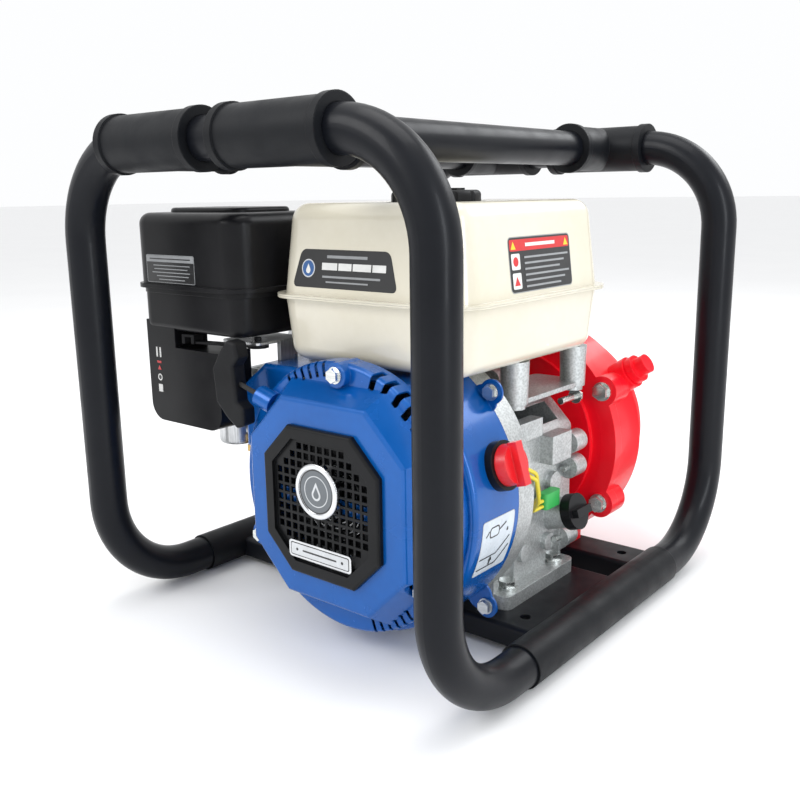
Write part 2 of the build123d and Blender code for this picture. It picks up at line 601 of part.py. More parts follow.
fan_cover = fan_outline(0, FAN_Y)
front_face = fan_cover.faces().sort_by(Axis.Y)[0]
fan_cover = fillet(front_face.edges(), 5.0)
fan_cover -= fan_outline(SHEET, (FAN_Y[0] + SHEET, FAN_Y[1] + 1))
fan_cover -= disc_y((FAN_Y[0] - 1, FAN_Y[0] + SHEET + 1), RECOIL_R - 5)
for point in fan_tabs:
    inward = polar(0, 0, 0) - point
    base = point + inward.normalized() * 10
    tab = disc_y((FAN_Y[1] - SHEET, FAN_Y[1]), 10, point.X, point.Z)
    tab += disc_y((FAN_Y[1] - SHEET, FAN_Y[1]), 12, base.X, base.Z)
    tab -= disc_y((FAN_Y[1] - 20, FAN_Y[1] + 1), FAN_R - 1)
    tab -= disc_y((FAN_Y[1] - 20, FAN_Y[1] + 1), 3, point.X, point.Z)
    fan_cover += tab
nodes["fan_cover"] = fan_cover.solids().sort_by(SortBy.VOLUME)[-1]

RECOIL_BACK = FAN_Y[0]
RECOIL_SHOULDER = -160.0


def recoil_face(inset):
    """Eight-sided raised face of the recoil cover, sloping out to the skirt, made smaller by an inset."""
    rims = []
    for wider, y in ((0, RECOIL_Y + inset), (RECOIL_FACE_SLOPE, RECOIL_SHOULDER + inset)):
        corners = octagon(RECOIL_FACE_HALF + wider - inset, RECOIL_FACE_CUT + wider / 2)
        rims.append(make_face(Polyline(*[(x, y, z) for x, z in corners], close=True)))
    return loft(rims)


recoil = disc_y((RECOIL_SHOULDER, RECOIL_BACK), RECOIL_R)
recoil = fillet(recoil.edges().group_by(Axis.Y)[0], 4.0)
recoil += recoil_face(0)
recoil = fillet(recoil.edges().group_by(Axis.Y)[0], 4.0)
recoil -= disc_y((RECOIL_SHOULDER + SHEET, RECOIL_BACK + 1), RECOIL_R - SHEET)
recoil -= recoil_face(SHEET)
recoil -= prism_y(octagon(GRILLE_HALF - 8, GRILLE_CUT - 4), (RECOIL_Y - 5, RECOIL_Y + SHEET + 1))
# rope guide: a short boss where the rope leaves the cover
rope_dir = Vector(cos(radians(ROPE_ANGLE)), -0.125, sin(radians(ROPE_ANGLE))).normalized()
rope_normal = Vector(sin(radians(ROPE_ANGLE)), 0, -cos(radians(ROPE_ANGLE)))
ROPE_Y = -153.0
rope_tangent = Vector(CX, ROPE_Y, CZ) + rope_normal * ROPE_REEL_R
guide_distance = sqrt((RECOIL_R + 2) ** 2 - ROPE_REEL_R ** 2)
guide_exit = rope_tangent + rope_dir * guide_distance
recoil += rod(guide_exit - rope_dir * 16, guide_exit, 9)
recoil -= disc_y((RECOIL_SHOULDER + 1, RECOIL_BACK + 1), RECOIL_R - SHEET)
recoil -= rod(guide_exit - rope_dir * 20, guide_exit + rope_dir, ROPE_R + 1)
# cooling slots through the skirt: five wide ones, then narrow ones either side of the top bolt
SLOT_Y = (RECOIL_SHOULDER - 2, RECOIL_BACK - 5)
WIDE_SLOTS = [42 + 7 * index for index in range(5)]
NARROW_SLOTS = [24 + 4.5 * index for index in range(3)] + [98 + 4.5 * index for index in range(6)]
NARROW_SLOTS += [-72 + 4.5 * index for index in range(6)]
for slot_angles, wide in ((WIDE_SLOTS, 5.6), (NARROW_SLOTS, 3.0)):
    for angle in slot_angles:
        slot = block((CX + RECOIL_R - 12, CX + RECOIL_R + 3), SLOT_Y, (CZ - wide / 2, CZ + wide / 2))
        slot = fillet(slot.edges().filter_by(Axis.X), 1.4)
        recoil -= Pos(CX, 0, CZ) * Rot(0, -angle, 0) * Pos(-CX, 0, -CZ) * slot
RECOIL_BOLT_ANGLES = (88, 208, 328)
for angle in RECOIL_BOLT_ANGLES:
    point = polar(angle, RECOIL_R - 9, 0)
    recoil -= disc_y((RECOIL_Y - 1, RECOIL_SHOULDER + 12), 9, point.X, point.Z)
    pad = disc_y((RECOIL_SHOULDER - 6, RECOIL_BACK), 10, point.X, point.Z)
    recoil += pad - disc_y((RECOIL_Y, RECOIL_BACK + 1), 3, point.X, point.Z)
nodes["recoil_cover"] = recoil.solids().sort_by(SortBy.VOLUME)[-1]

grille_y = (RECOIL_Y - GRILLE_T + 3, RECOIL_Y - GAP)
grille_front = grille_y[0]
grille = prism_y(octagon(GRILLE_HALF, GRILLE_CUT), (grille_front, RECOIL_Y))
grille = fillet(grille.faces().sort_by(Axis.Y)[0].edges(), 2.5)
GRILLE_INNER = GRILLE_HALF - 10
mesh_y = (grille_front + 3, RECOIL_Y)
grille -= prism_y(octagon(GRILLE_INNER, GRILLE_CUT - 5), (grille_front - 1, mesh_y[0]))
cells = int(GRILLE_INNER // MESH_PITCH)
holes = []
for row in range(-cells, cells + 1):
    for column in range(-cells, cells + 1):
        if abs(row) + abs(column) > 2 * cells - 3:
            continue
        x, z = CX + column * MESH_PITCH, CZ + row * MESH_PITCH
        half = MESH_HOLE / 2
        holes.append(block((x - half, x + half), (mesh_y[0] - 1, mesh_y[1] + 1), (z - half, z + half)))
grille = grille.cut(*holes)
nodes["grille"] = grille.solids().sort_by(SortBy.VOLUME)[-1]

BADGE_R = 22.0
BADGE_Z = CZ + 13.0
badge = disc_y((mesh_y[0] - 6, mesh_y[0]), BADGE_R, CX, BADGE_Z)
badge = fillet(badge.edges().group_by(Axis.Y)[0], 1.5)
badge -= disc_y((mesh_y[0] - 7, mesh_y[0] - 5), BADGE_R - 4, CX, BADGE_Z)
PLATE_SIZE = (66.0, 14.0)
plate_z = CZ - 39.0
name_plate = block(
    (CX - PLATE_SIZE[0] / 2, CX + PLATE_SIZE[0] / 2),
    (mesh_y[0] - 4, mesh_y[0]),
    (plate_z - PLATE_SIZE[1] / 2, plate_z + PLATE_SIZE[1] / 2),
)
nodes["badges"] = group([badge, fillet(name_plate.edges().filter_by(Axis.Y), 3.0)])

# recoil reel, spiral spring, rope and handle
REEL_Y = (-168.0, -148.0)
reel = disc_y(REEL_Y, REEL_R)
reel -= ring((CX, ROPE_Y - 6, CZ), (CX, ROPE_Y + 3, CZ), REEL_R + 1, ROPE_REEL_R - ROPE_R)
reel -= disc_y((REEL_Y[0] - 1, REEL_Y[0] + 9), 34)
reel -= disc_y((REEL_Y[0] - 1, REEL_Y[1] + 1), 6 + RUN_FIT)
nodes["recoil_reel"] = reel
HUB_R = 6.0
hub = disc_y((RECOIL_Y + SHEET - 1, REEL_Y[1] + 2), HUB_R)
nodes["recoil_cover"] = nodes["recoil_cover"] + hub
spoke_x = (CX - RECOIL_FACE_HALF + 4, CX + RECOIL_FACE_HALF - 4)
spokes = block(spoke_x, (RECOIL_Y + SHEET, RECOIL_Y + SHEET + 3), (CZ - 7, CZ + 7))
nodes["recoil_cover"] = (nodes["recoil_cover"] + spokes).solids().sort_by(SortBy.VOLUME)[-1]

SPRING_TURNS = 5
SPRING_STEPS = 20
spring_in, spring_out, strip = 9.0, 32.0, 1.0
spiral = []
for edge in (0, 1):
    points = []
    for index in range(SPRING_TURNS * SPRING_STEPS + 1):
        share = index / (SPRING_TURNS * SPRING_STEPS)
        radius = spring_in + (spring_out - spring_in) * share + edge * strip
        angle = share * SPRING_TURNS * 2 * pi
        points.append((CX + radius * cos(angle), CZ + radius * sin(angle)))
    spiral += points if edge == 0 else list(reversed(points))
nodes["rewind_spring"] = prism_y(spiral, (REEL_Y[0] + 1, REEL_Y[0] + 8))

handle_seat = guide_exit + rope_dir * 5
rope = rod(rope_tangent, handle_seat + rope_dir * 18, ROPE_R)
coil_rope = ring((CX, ROPE_Y - ROPE_R, CZ), (CX, ROPE_Y + ROPE_R, CZ), ROPE_REEL_R + ROPE_R, ROPE_REEL_R - ROPE_R)
nodes["starter_rope"] = (rope + coil_rope).solids().sort_by(SortBy.VOLUME)[-1]

handle_mid = handle_seat + rope_dir * 18
bar_dir = Vector(0.10, 0.0, -0.995).normalized()
handle_plane = Plane(origin=handle_mid, x_dir=bar_dir, z_dir=rope_dir.cross(bar_dir))
outline = [
    (-37, 2), (-34, -7), (-21, -8), (-15, -2), (15, -2), (21, -8), (34, -7), (37, 2), (27, 12), (14, 21)
]
outline += [(-14, 21), (-27, 12)]
handle_face = make_face(Polyline(*[(px, -py) for px, py in outline], close=True))
handle = extrude(handle_plane * handle_face, amount=8, both=True)
handle = fillet(handle.edges(), 3.0)
handle -= rod(handle_seat - rope_dir * 2, handle_seat + rope_dir * 18, ROPE_R + 0.5)
nodes["recoil_handle"] = handle.solids().sort_by(SortBy.VOLUME)[-1]


# ---------------------------------------------------------------- fuel tank
tank_mid = ((TANK_X[0] + TANK_X[1]) / 2, (TANK_Y[0] + TANK_Y[1]) / 2)
tank_w = TANK_X[1] - TANK_X[0] - 2 * TANK_RIM
tank_d = TANK_Y[1] - TANK_Y[0] - 2 * TANK_RIM
TANK_CORNER = 24.0
UPPER_TAPER = 7.0
LOWER_TAPER = 6.0
POCKET_R = CAP_R + 3.5
POCKET_Z = 346.0
seam_plane = Plane(origin=(tank_mid[0], tank_mid[1], TANK_SEAM))


def upper_form(inset, base):
    """Outside of the upper tank shell, made smaller by an inset."""
    sketch = seam_plane * RectangleRounded(tank_w - 2 * inset, tank_d - 2 * inset, TANK_CORNER - inset)
    form = extrude(sketch, amount=TANK_TOP - TANK_SEAM - inset, taper=UPPER_TAPER)
    form = fillet(form.faces().sort_by(Axis.Z)[-1].edges(), 15 - inset)
    pocket = rod((CAP_XY[0], CAP_XY[1], POCKET_Z - inset), (CAP_XY[0], CAP_XY[1], TANK_TOP + 1), POCKET_R + inset)
    return form - pocket if base else form


def lower_form(inset):
    """Outside of the lower tank shell, made smaller by an inset."""
    sketch = seam_plane * RectangleRounded(tank_w - 2 * inset, tank_d - 2 * inset, TANK_CORNER - inset)
    form = extrude(sketch, amount=-(TANK_SEAM - TANK_LOW - inset), taper=LOWER_TAPER)
    return fillet(form.faces().sort_by(Axis.Z)[0].edges(), 13 - inset)


def seam_flange(low, high):
    """Flat rim round the tank at the seam."""
    rim = seam_plane * RectangleRounded(
        TANK_X[1] - TANK_X[0], TANK_Y[1] - TANK_Y[0], TANK_CORNER + TANK_RIM
    )
    return Pos(0, 0, low) * extrude(rim, amount=high - low)


cap_point = (CAP_XY[0], CAP_XY[1])
upper_tank = upper_form(0, True) + seam_flange(0, 1.6)
upper_tank -= upper_form(TANK_SHEET, True)
upper_tank += rod((*cap_point, POCKET_Z - TANK_SHEET), (*cap_point, POCKET_Z + 7), NECK_R)
upper_tank -= rod((*cap_point, POCKET_Z - 10), (*cap_point, POCKET_Z + 8), NECK_R - 2)
nodes["tank_upper_shell"] = upper_tank.solids().sort_by(SortBy.VOLUME)[-1]
lower_tank = lower_form(0) + seam_flange(-1.6, 0)
lower_tank -= lower_form(TANK_SHEET)
outlet = (-20.0, -60.0)
lower_tank += rod((*outlet, TANK_LOW - 4), (*outlet, TANK_LOW + 2), 6)
lower_tank -= rod((*outlet, TANK_LOW - 5), (*outlet, TANK_LOW + 3), 3)
nodes["tank_lower_shell"] = lower_tank.solids().sort_by(SortBy.VOLUME)[-1]

CAP_Z = (POCKET_Z + 1.5, POCKET_Z + 18.5)
cap = rod((*cap_point, CAP_Z[0]), (*cap_point, CAP_Z[1]), CAP_R)
cap = fillet(cap.edges().group_by(Axis.Z)[-1], 4.0)
cap -= rod((*cap_point, CAP_Z[0] - 1), (*cap_point, CAP_Z[1] - 4), CAP_R - 3)
cap += rod((*cap_point, CAP_Z[0]), (*cap_point, CAP_Z[1] - 4), NECK_R - 4)
CAP_NOTCHES = 12
for index in range(CAP_NOTCHES):
    notch = polar(index * 360 / CAP_NOTCHES, CAP_R + 3, 0, 0, 0)
    spot = (CAP_XY[0] + notch.X, CAP_XY[1] + notch.Z)
    cap -= rod((*spot, CAP_Z[0] - 1), (*spot, CAP_Z[1] + 1), 4.5)
cap += block((CAP_XY[0] - 24, CAP_XY[0] + 24), (CAP_XY[1] - 5, CAP_XY[1] + 5), (CAP_Z[1] - 3, CAP_Z[1] + 1.5))
nodes["fuel_cap"] = cap.solids().sort_by(SortBy.VOLUME)[-1]

# tank stays: two posts on a plate over the crankcase's switch side
POST_X = 119.0
POST_Y = (-32.0, 64.0)
POST_R = 11.0
STAY_Z = CASE_TOP + 1.0
stays = block((CASE_X[1] - 44, POST_X + 8), (POST_Y[0] - 8, POST_Y[1] + 8), (STAY_Z, STAY_Z + 4))
stays = fillet(stays.edges().filter_by(Axis.Z), 7.0)
for y in POST_Y:
    stays += rod((POST_X, y, STAY_Z), (POST_X, y, TANK_LOW), POST_R, POST_R + 1)
    stays += rod((POST_X, y, STAY_Z - 4), (POST_X, y, STAY_Z), POST_R - 2)
stays += block((CASE_X[1] - 52, CASE_X[1] - 40), (POST_Y[0] - 4, POST_Y[1] - 20), (CASE_TOP, STAY_Z + 4))
nodes["tank_stays"] = (stays - lower_form(0)).solids().sort_by(SortBy.VOLUME)[-1]


# ---------------------------------------------------------------- air cleaner
AIR_CORNER = 20.0
LIP = 3.0
air_in_x = (AIR_X[0] + 3, AIR_X[1] - 3)
air_in_y = (AIR_Y[0] + 3, AIR_Y[1] - 3)


tray = soft_block(air_in_x, air_in_y, (AIR_LOW, AIR_SPLIT), AIR_CORNER - 5, 0, 6.0)
tray += soft_block(shrink(AIR_X, 1), shrink(AIR_Y, 1), (AIR_SPLIT - 4, AIR_SPLIT), AIR_CORNER)
duct = block((DUCT_X[0], DUCT_SIDE), (AIR_Y[0] + 4, DUCT_BACK), (DUCT_STEP - 10, AIR_LOW + 8))
wide = block(DUCT_X, (AIR_Y[0] + 4, DUCT_BACK), (DUCT_LOW, DUCT_STEP))
wide = fillet(wide.edges().filter_by(Axis.Y).group_by(Axis.Z)[0], 16.0)
tray += duct + wide
tray -= soft_block(
    shrink(air_in_x, AIR_WALL), shrink(air_in_y, AIR_WALL), (AIR_LOW + AIR_WALL, AIR_SPLIT + 1), AIR_CORNER - 8
)
tray -= block((DUCT_X[0] + 4, DUCT_SIDE - 4), (AIR_Y[0] + 8, DUCT_BACK - 4), (DUCT_STEP - 20, AIR_LOW + 4))
tray -= block(shrink(DUCT_X, 4), (AIR_Y[0] + 8, DUCT_BACK - 4), (DUCT_LOW + 17, DUCT_STEP - 4))
carb_bore = 10.0
tray -= rod((CARB_X, DUCT_BACK - 6, CARB_Z), (CARB_X, DUCT_BACK + 1, CARB_Z), carb_bore)
nodes["air_cleaner_base"] = tray.solids().sort_by(SortBy.VOLUME)[-1]

air_cover = soft_block(AIR_X, AIR_Y, (AIR_SPLIT + GAP, AIR_TOP), AIR_CORNER, 10.0)
air_cover += soft_block(
    (AIR_X[0] + 24, AIR_X[1] - 20), (AIR_Y[0] + 20, AIR_Y[1] - 16), (AIR_TOP - 1, AIR_TOP + 4), 14.0, 3.0
)
lip_x = (AIR_X[0] - LIP, AIR_X[1] + LIP)
lip_y = (AIR_Y[0] - LIP, AIR_Y[1] + LIP)
air_cover += soft_block(lip_x, lip_y, (AIR_SPLIT + GAP, AIR_SPLIT + 4), AIR_CORNER + LIP)
air_cover -= soft_block(
    shrink(AIR_X, AIR_WALL), shrink(AIR_Y, AIR_WALL), (AIR_SPLIT - 1, AIR_TOP - AIR_WALL), AIR_CORNER - AIR_WALL, 8.0
)
nodes["air_cleaner_cover"] = air_cover.solids().sort_by(SortBy.VOLUME)[-1]

element_x = shrink(air_in_x, 10)
element_y = shrink(air_in_y, 10)
element = soft_block(element_x, element_y, (AIR_LOW + AIR_WALL, AIR_TOP - 16), 14.0)
element -= soft_block(shrink(element_x, 16), shrink(element_y, 16), (AIR_LOW, AIR_TOP - 26), 8.0)
nodes["air_filter"] = element.solids().sort_by(SortBy.VOLUME)[-1]


# ---------------------------------------------------------------- carburettor and controls
carb = rod((CARB_X, DUCT_BACK, CARB_Z), (CARB_X, CARB_Y[1], CARB_Z), 16)
carb += block((CARB_X - 26, CARB_X + 26), (DUCT_BACK, DUCT_BACK + 5), (CARB_Z - 17, CARB_Z + 17))
carb += block((CARB_X - 26, CARB_X + 26), (CARB_Y[1] - 6, CARB_Y[1]), (CARB_Z - 17, CARB_Z + 17))
bowl_y = -106.0
carb += rod((CARB_X, bowl_y, BOWL_Z[1]), (CARB_X, bowl_y, CARB_Z), BOWL_R)
carb += rod((CARB_X, bowl_y, CARB_Z), (CARB_X, bowl_y, CARB_Z + 24), 9)
carb += rod((CARB_X, CARB_Y[1], CARB_Z), (port_centre.X, INTAKE_Y - 1, port_centre.Z), 17)
CHOKE = (CARB_X + 21.0, -117.0, CARB_Z + 2)
VALVE = (CARB_X + 21.0, -79.0, 158.0)
carb += rod((CARB_X, CHOKE[1], CHOKE[2]), CHOKE, 5)
carb += rod((CARB_X, VALVE[1], VALVE[2]), VALVE, 7) + rod((CARB_X, VALVE[1], VALVE[2]), (CARB_X, VALVE[1], CARB_Z), 7)
carb -= rod((CARB_X, DUCT_BACK - 1, CARB_Z), (CARB_X, CARB_Y[1] - 3, CARB_Z), carb_bore)
carb -= block((-200, 0), (INTAKE_Y, 0), (100, 260))
carb -= rod((port_centre.X, INTAKE_Y - 3, port_centre.Z), (port_centre.X, INTAKE_Y, port_centre.Z), 8)
carb -= rod((CARB_X + 12, CHOKE[1], CHOKE[2]), (CHOKE[0] + 1, CHOKE[1], CHOKE[2]), 2 + RUN_FIT)
carb -= rod((CARB_X + 6, VALVE[1], VALVE[2]), (VALVE[0] + 1, VALVE[1], VALVE[2]), 3 + RUN_FIT)
nodes["carburettor"] = carb.solids().sort_by(SortBy.VOLUME)[-1]

bowl = rod((CARB_X, bowl_y, BOWL_Z[0]), (CARB_X, bowl_y, BOWL_Z[1]), BOWL_R - 1.5)
bowl = fillet(bowl.edges().group_by(Axis.Z)[0], 4.0)
bowl += rod((CARB_X, bowl_y, BOWL_Z[1] - 3), (CARB_X, bowl_y, BOWL_Z[1]), BOWL_R)
bowl += rod((CARB_X, bowl_y, BOWL_Z[0] + 14), (CARB_X + 27, bowl_y, BOWL_Z[0] + 14), 5)
bowl -= rod((CARB_X, bowl_y, BOWL_Z[0] + 2), (CARB_X, bowl_y, BOWL_Z[1] + 1), BOWL_R - 3)
nodes["float_bowl"] = bowl.solids().sort_by(SortBy.VOLUME)[-1]
DRAIN_X = CARB_X + 24.0
drain = rod((DRAIN_X, bowl_y, BOWL_Z[0] - 8), (DRAIN_X, bowl_y, BOWL_Z[0] + 9), 6)
drain += rod((DRAIN_X, bowl_y, BOWL_Z[0] - 13), (DRAIN_X, bowl_y, BOWL_Z[0] - 8), 4)
drain += Pos(DRAIN_X, bowl_y, BOWL_Z[0] - 5) * extrude(RegularPolygon(8, 6), amount=6)
nodes["bowl_drain"] = drain

LEVER_Z = CONTROL_Z - PLATE_T - 3.2
control = soft_block((-100, -54), (-153, -100), (CONTROL_Z - 2, CONTROL_Z), 4.0)
control += block((-62, -58), (-124, -104), (CZ + FAN_TOP, CONTROL_Z))
control -= rod((*LEVER_PIVOT, 200), (*LEVER_PIVOT, 260), 3 + RUN_FIT)
control -= block((-94, -72), (-130, -126), (200, 260))
nodes["control_plate"] = control.solids().sort_by(SortBy.VOLUME)[-1]

pivot = Vector(*LEVER_PIVOT, LEVER_Z)
tip = Vector(*LEVER_TIP, LEVER_Z)
along = (tip - pivot).normalized()
lever_plane = Plane(origin=pivot, x_dir=along, z_dir=(0, 0, 1))
reach = (tip - pivot).length
lever = lever_plane * Pos(reach / 2, 0, 1) * Box(reach, 9, 2)
lever += rod(pivot, pivot + Vector(0, 0, 2), 9)
lever += rod(pivot, pivot + Vector(0, 0, 9), 3)
lever += lever_plane * Pos(reach - 5, 0, 4) * Box(3, 12, 8)
lever += lever_plane * Pos(reach + 5, 0, 4) * Box(3, 12, 8)
lever += lever_plane * Pos(reach, 0, 7) * Box(13, 12, 2)
lever -= lever_plane * Pos(reach, 0, 1) * Box(7, 13, 10)
lever += lever_plane * Pos(reach, 0, 7) * Box(13, 12, 2)
nodes["throttle_lever"] = lever.solids().sort_by(SortBy.VOLUME)[-1]


def arm(pivot_point, direction, length, shaft_r, depth):
    """Small flat lever on a shaft that lies along X."""
    start = Vector(*pivot_point) + Vector(GAP, 0, 0)
    plane = Plane(origin=start, x_dir=direction, z_dir=(1, 0, 0))
    body = plane * Pos(length / 2, 0, 1.25) * Box(length, 6, 2.5)
    body += rod(start, start + Vector(2.5, 0, 0), 6)
    body += plane * Pos(length, 0, 1.25) * Cylinder(5, 2.5)
    return body + rod(start - Vector(depth, 0, 0), start, shaft_r)


nodes["choke_lever"] = arm(CHOKE, (0, 0, 1), 22, 2, 8)
nodes["fuel_valve_lever"] = arm(VALVE, (0, -1, 0), 17, 3, 12)


# ---------------------------------------------------------------- muffler, switch, oil plug
muffler = soft_block(MUFFLER_X, MUFFLER_Y, MUFFLER_Z, 14.0, 10.0, 10.0)
muffler -= soft_block(
    shrink(MUFFLER_X, SHEET), shrink(MUFFLER_Y, SHEET), shrink(MUFFLER_Z, SHEET), 12.0, 8.0, 8.0
)
exhaust_y = (EXHAUST_Y + GAP, MUFFLER_Y[0] + SHEET)
muffler += disc_y(exhaust_y, PORT_BOSS_R + 4, port_centre.X, port_centre.Z)
muffler -= disc_y((EXHAUST_Y - 1, MUFFLER_Y[0] + SHEET + 1), 11, port_centre.X, port_centre.Z)
tail = Vector(MUFFLER_X[0] + 24, MUFFLER_Y[1] - SHEET, MUFFLER_Z[1] - 22)
muffler += rod(tail, tail + Vector(0, 12, 0), 9)
muffler -= rod(tail - Vector(0, 4, 0), tail + Vector(0, 13, 0), 7.5)
nodes["muffler"] = muffler.solids().sort_by(SortBy.VOLUME)[-1]

switch_out = polar(SWITCH_ANGLE, 1, 0, 0, 0)
switch_out = Vector(switch_out.X, 0, switch_out.Z)
switch_seat = polar(SWITCH_ANGLE, FAN_R - 6, SWITCH_Y)
switch_base = rod(switch_seat, switch_seat + switch_out * SWITCH_DEEP, SWITCH_R + 2)
switch_base -= disc_y(FAN_Y, FAN_R)
spindle_r = 4.0
switch_base -= rod(switch_seat, switch_seat + switch_out * (SWITCH_DEEP + 1), spindle_r + RUN_FIT)
nodes["switch_base"] = switch_base.solids().sort_by(SortBy.VOLUME)[-1]
knob_start = switch_seat + switch_out * (SWITCH_DEEP + GAP)
knob = rod(knob_start, knob_start + switch_out * KNOB_LEN, SWITCH_R - 1, SWITCH_R - 2)
knob_plane = Plane(origin=knob_start + switch_out * KNOB_LEN, x_dir=(0, 1, 0), z_dir=switch_out)
knob += knob_plane * Pos(0, 0, 2) * Box(8, 33, 8)
knob += rod(knob_start - switch_out * (SWITCH_DEEP - 7), knob_start, spindle_r)
nodes["switch_knob"] = knob.solids().sort_by(SortBy.VOLUME)[-1]

oil_plug = rod(oil_mouth + oil_dir * GAP, oil_mouth + oil_dir * 10, OIL_NECK_R + 2)
grip = Plane(origin=oil_mouth + oil_dir * 10, x_dir=(0, 1, 0), z_dir=oil_dir) * Pos(0, 0, 3) * Box(24, 7, 6)
oil_plug += grip + rod(oil_mouth - oil_dir * 18, oil_mouth + oil_dir, oil_bore_r - 0.06)
oil_plug += rod(oil_mouth - oil_dir * 36, oil_mouth - oil_dir * 17, 2.5)
nodes["oil_plug"] = oil_plug.solids().sort_by(SortBy.VOLUME)[-1]

# plug-in connector on the crankcase's side, and the two wires from the switch to it
connector = soft_block((CASE_X[1] + 5.5, CASE_X[1] + 15), (-4, 20), (96, 110), 3.0)
WIRE_R = 1.6
wire_start = switch_seat + Vector(10.6, SWITCH_R + 2.2, -1.3)


def wire(offset):
    """One wire from the switch's back to the connector."""
    points = [
        wire_start - Vector(0, 0, offset),
        wire_start + Vector(2, 21.8, -12 - offset),
        Vector(CASE_X[1] + 30, -42, 122 - offset),
        Vector(CASE_X[1] + 11, -22, 104 - offset),
        Vector(CASE_X[1] + 11, -4.2, 104 - offset),
    ]
    radii = [14.0, 24.0, 18.0]
    path = FilletPolyline(*points, radius=radii)
    section = Plane(origin=points[0], z_dir=points[1] - points[0]) * Circle(WIRE_R)
    return sweep(section, path=path)


nodes["switch_wiring"] = group([connector, wire(0.0), wire(5.0)])


# ---------------------------------------------------------------- pump
bolt_angles = [30, 150, 210, 330]


def lobes(y):
    """Bolt lobes round the pump's joint."""
    body = disc_y(y, PUMP_R)
    for angle in bolt_angles:
        point = polar(angle, BOLT_CIRCLE, 0)
        body += disc_y(y, LOBE_R, point.X, point.Z)
    return body


def above_plate(body):
    """Cut away what would reach below the rear cross plate's top."""
    return body - block((-200, 260), (0, 240), (-50, PLATE_TOP + GAP))


BOLT_R = 4.0
pump_cover = lobes(PUMP_COVER_Y)
pump_cover += disc_y((PTO_Y, PUMP_COVER_Y[0]), PTO_R)
pump_cover += disc_y((PUMP_COVER_Y[0] - 4, PUMP_COVER_Y[0]), 84)
pump_cover -= disc_y((PUMP_COVER_Y[0] - 3, PUMP_COVER_Y[0] + 4), PUMP_R - 30) - disc_y(
    (PUMP_COVER_Y[0] - 5, PUMP_COVER_Y[0] + 5), PTO_R + 6
)
SEAL_R = 20.0
pump_cover -= disc_y((PTO_Y - 1, PUMP_COVER_Y[1] + 1), SHAFT_R + 3)
pump_cover -= disc_y((PUMP_COVER_Y[1] - 8, PUMP_COVER_Y[1] + 1), SEAL_R)
for angle in bolt_angles:
    point = polar(angle, BOLT_CIRCLE, 0)
    pump_cover -= disc_y((PUMP_COVER_Y[0] - 1, PUMP_COVER_Y[1] + 1), BOLT_R, point.X, point.Z)
nodes["pump_cover"] = above_plate(pump_cover).solids().sort_by(SortBy.VOLUME)[-1]

casing = lobes((PUMP_COVER_Y[1], PUMP_COVER_Y[1] + 14)) + disc_y((PUMP_COVER_Y[1], PUMP_DRUM_Y), PUMP_R)
casing += rod((CX, PUMP_DRUM_Y, CZ), (CX, PUMP_DRUM_Y + 10, CZ), PUMP_R, PUMP_NOSE_R)
casing += disc_y((PUMP_DRUM_Y, PUMP_NOSE_Y), PUMP_NOSE_R)
discharge = (DISCHARGE_X, DISCHARGE_Y)
casing += rod((*discharge, CZ), (*discharge, DISCHARGE_FLANGE_Z), PORT_R + PUMP_WALL + 2)
casing += rod((*discharge, DISCHARGE_FLANGE_Z - 12), (*discharge, DISCHARGE_FLANGE_Z), FLANGE_R)
suction_z = CZ + SUCTION_Z
casing += disc_y((PUMP_NOSE_Y - 10, PUMP_NOSE_Y + 8), FLANGE_R, CX, suction_z)
plug_dir_out = polar(PLUG_ANGLE, 1, 0, 0, 0)
plug_dir_out = Vector(plug_dir_out.X, 0, plug_dir_out.Z)
plug_root = Vector(CX, PLUG_Y, CZ)
PLUG_BOSS_R = 15.0
PLUG_BOSS_END = PUMP_R + 16
casing += rod(plug_root + plug_dir_out * 90, plug_root + plug_dir_out * PLUG_BOSS_END, PLUG_BOSS_R)
foot_y = (PUMP_COVER_Y[1], PUMP_COVER_Y[1] + 20)
pump_foot = block((CX - 58, CX + 58), foot_y, (PLATE_TOP, PLATE_TOP + 12))
casing = above_plate(casing)
inner = disc_y((PUMP_COVER_Y[1] - 1, PUMP_DRUM_Y - 2), PUMP_R - PUMP_WALL - 9)
inner += disc_y((PUMP_COVER_Y[1], PUMP_NOSE_Y - PUMP_WALL), PUMP_NOSE_R - PUMP_WALL)
casing += pump_foot
casing -= inner
casing -= rod((*discharge, CZ + 40), (*discharge, DISCHARGE_FLANGE_Z + 1), PORT_R)
casing -= disc_y((PUMP_NOSE_Y - 20, PUMP_NOSE_Y + 9), PORT_R, CX, suction_z)
PLUG_R = 9.0
casing -= rod(plug_root + plug_dir_out * 80, plug_root + plug_dir_out * 130, PLUG_R)
for angle in bolt_angles:
    point = polar(angle, BOLT_CIRCLE, 0)
    casing -= disc_y((PUMP_COVER_Y[1] - 1, PUMP_COVER_Y[1] + 15), BOLT_R, point.X, point.Z)
for side in (-1, 1):
    x = CX + side * PUMP_FOOT_X
    casing -= rod((x, REAR_MOUNT_Y, 0), (x, REAR_MOUNT_Y, PLATE_TOP + 20), FOOT_BOLT_R)
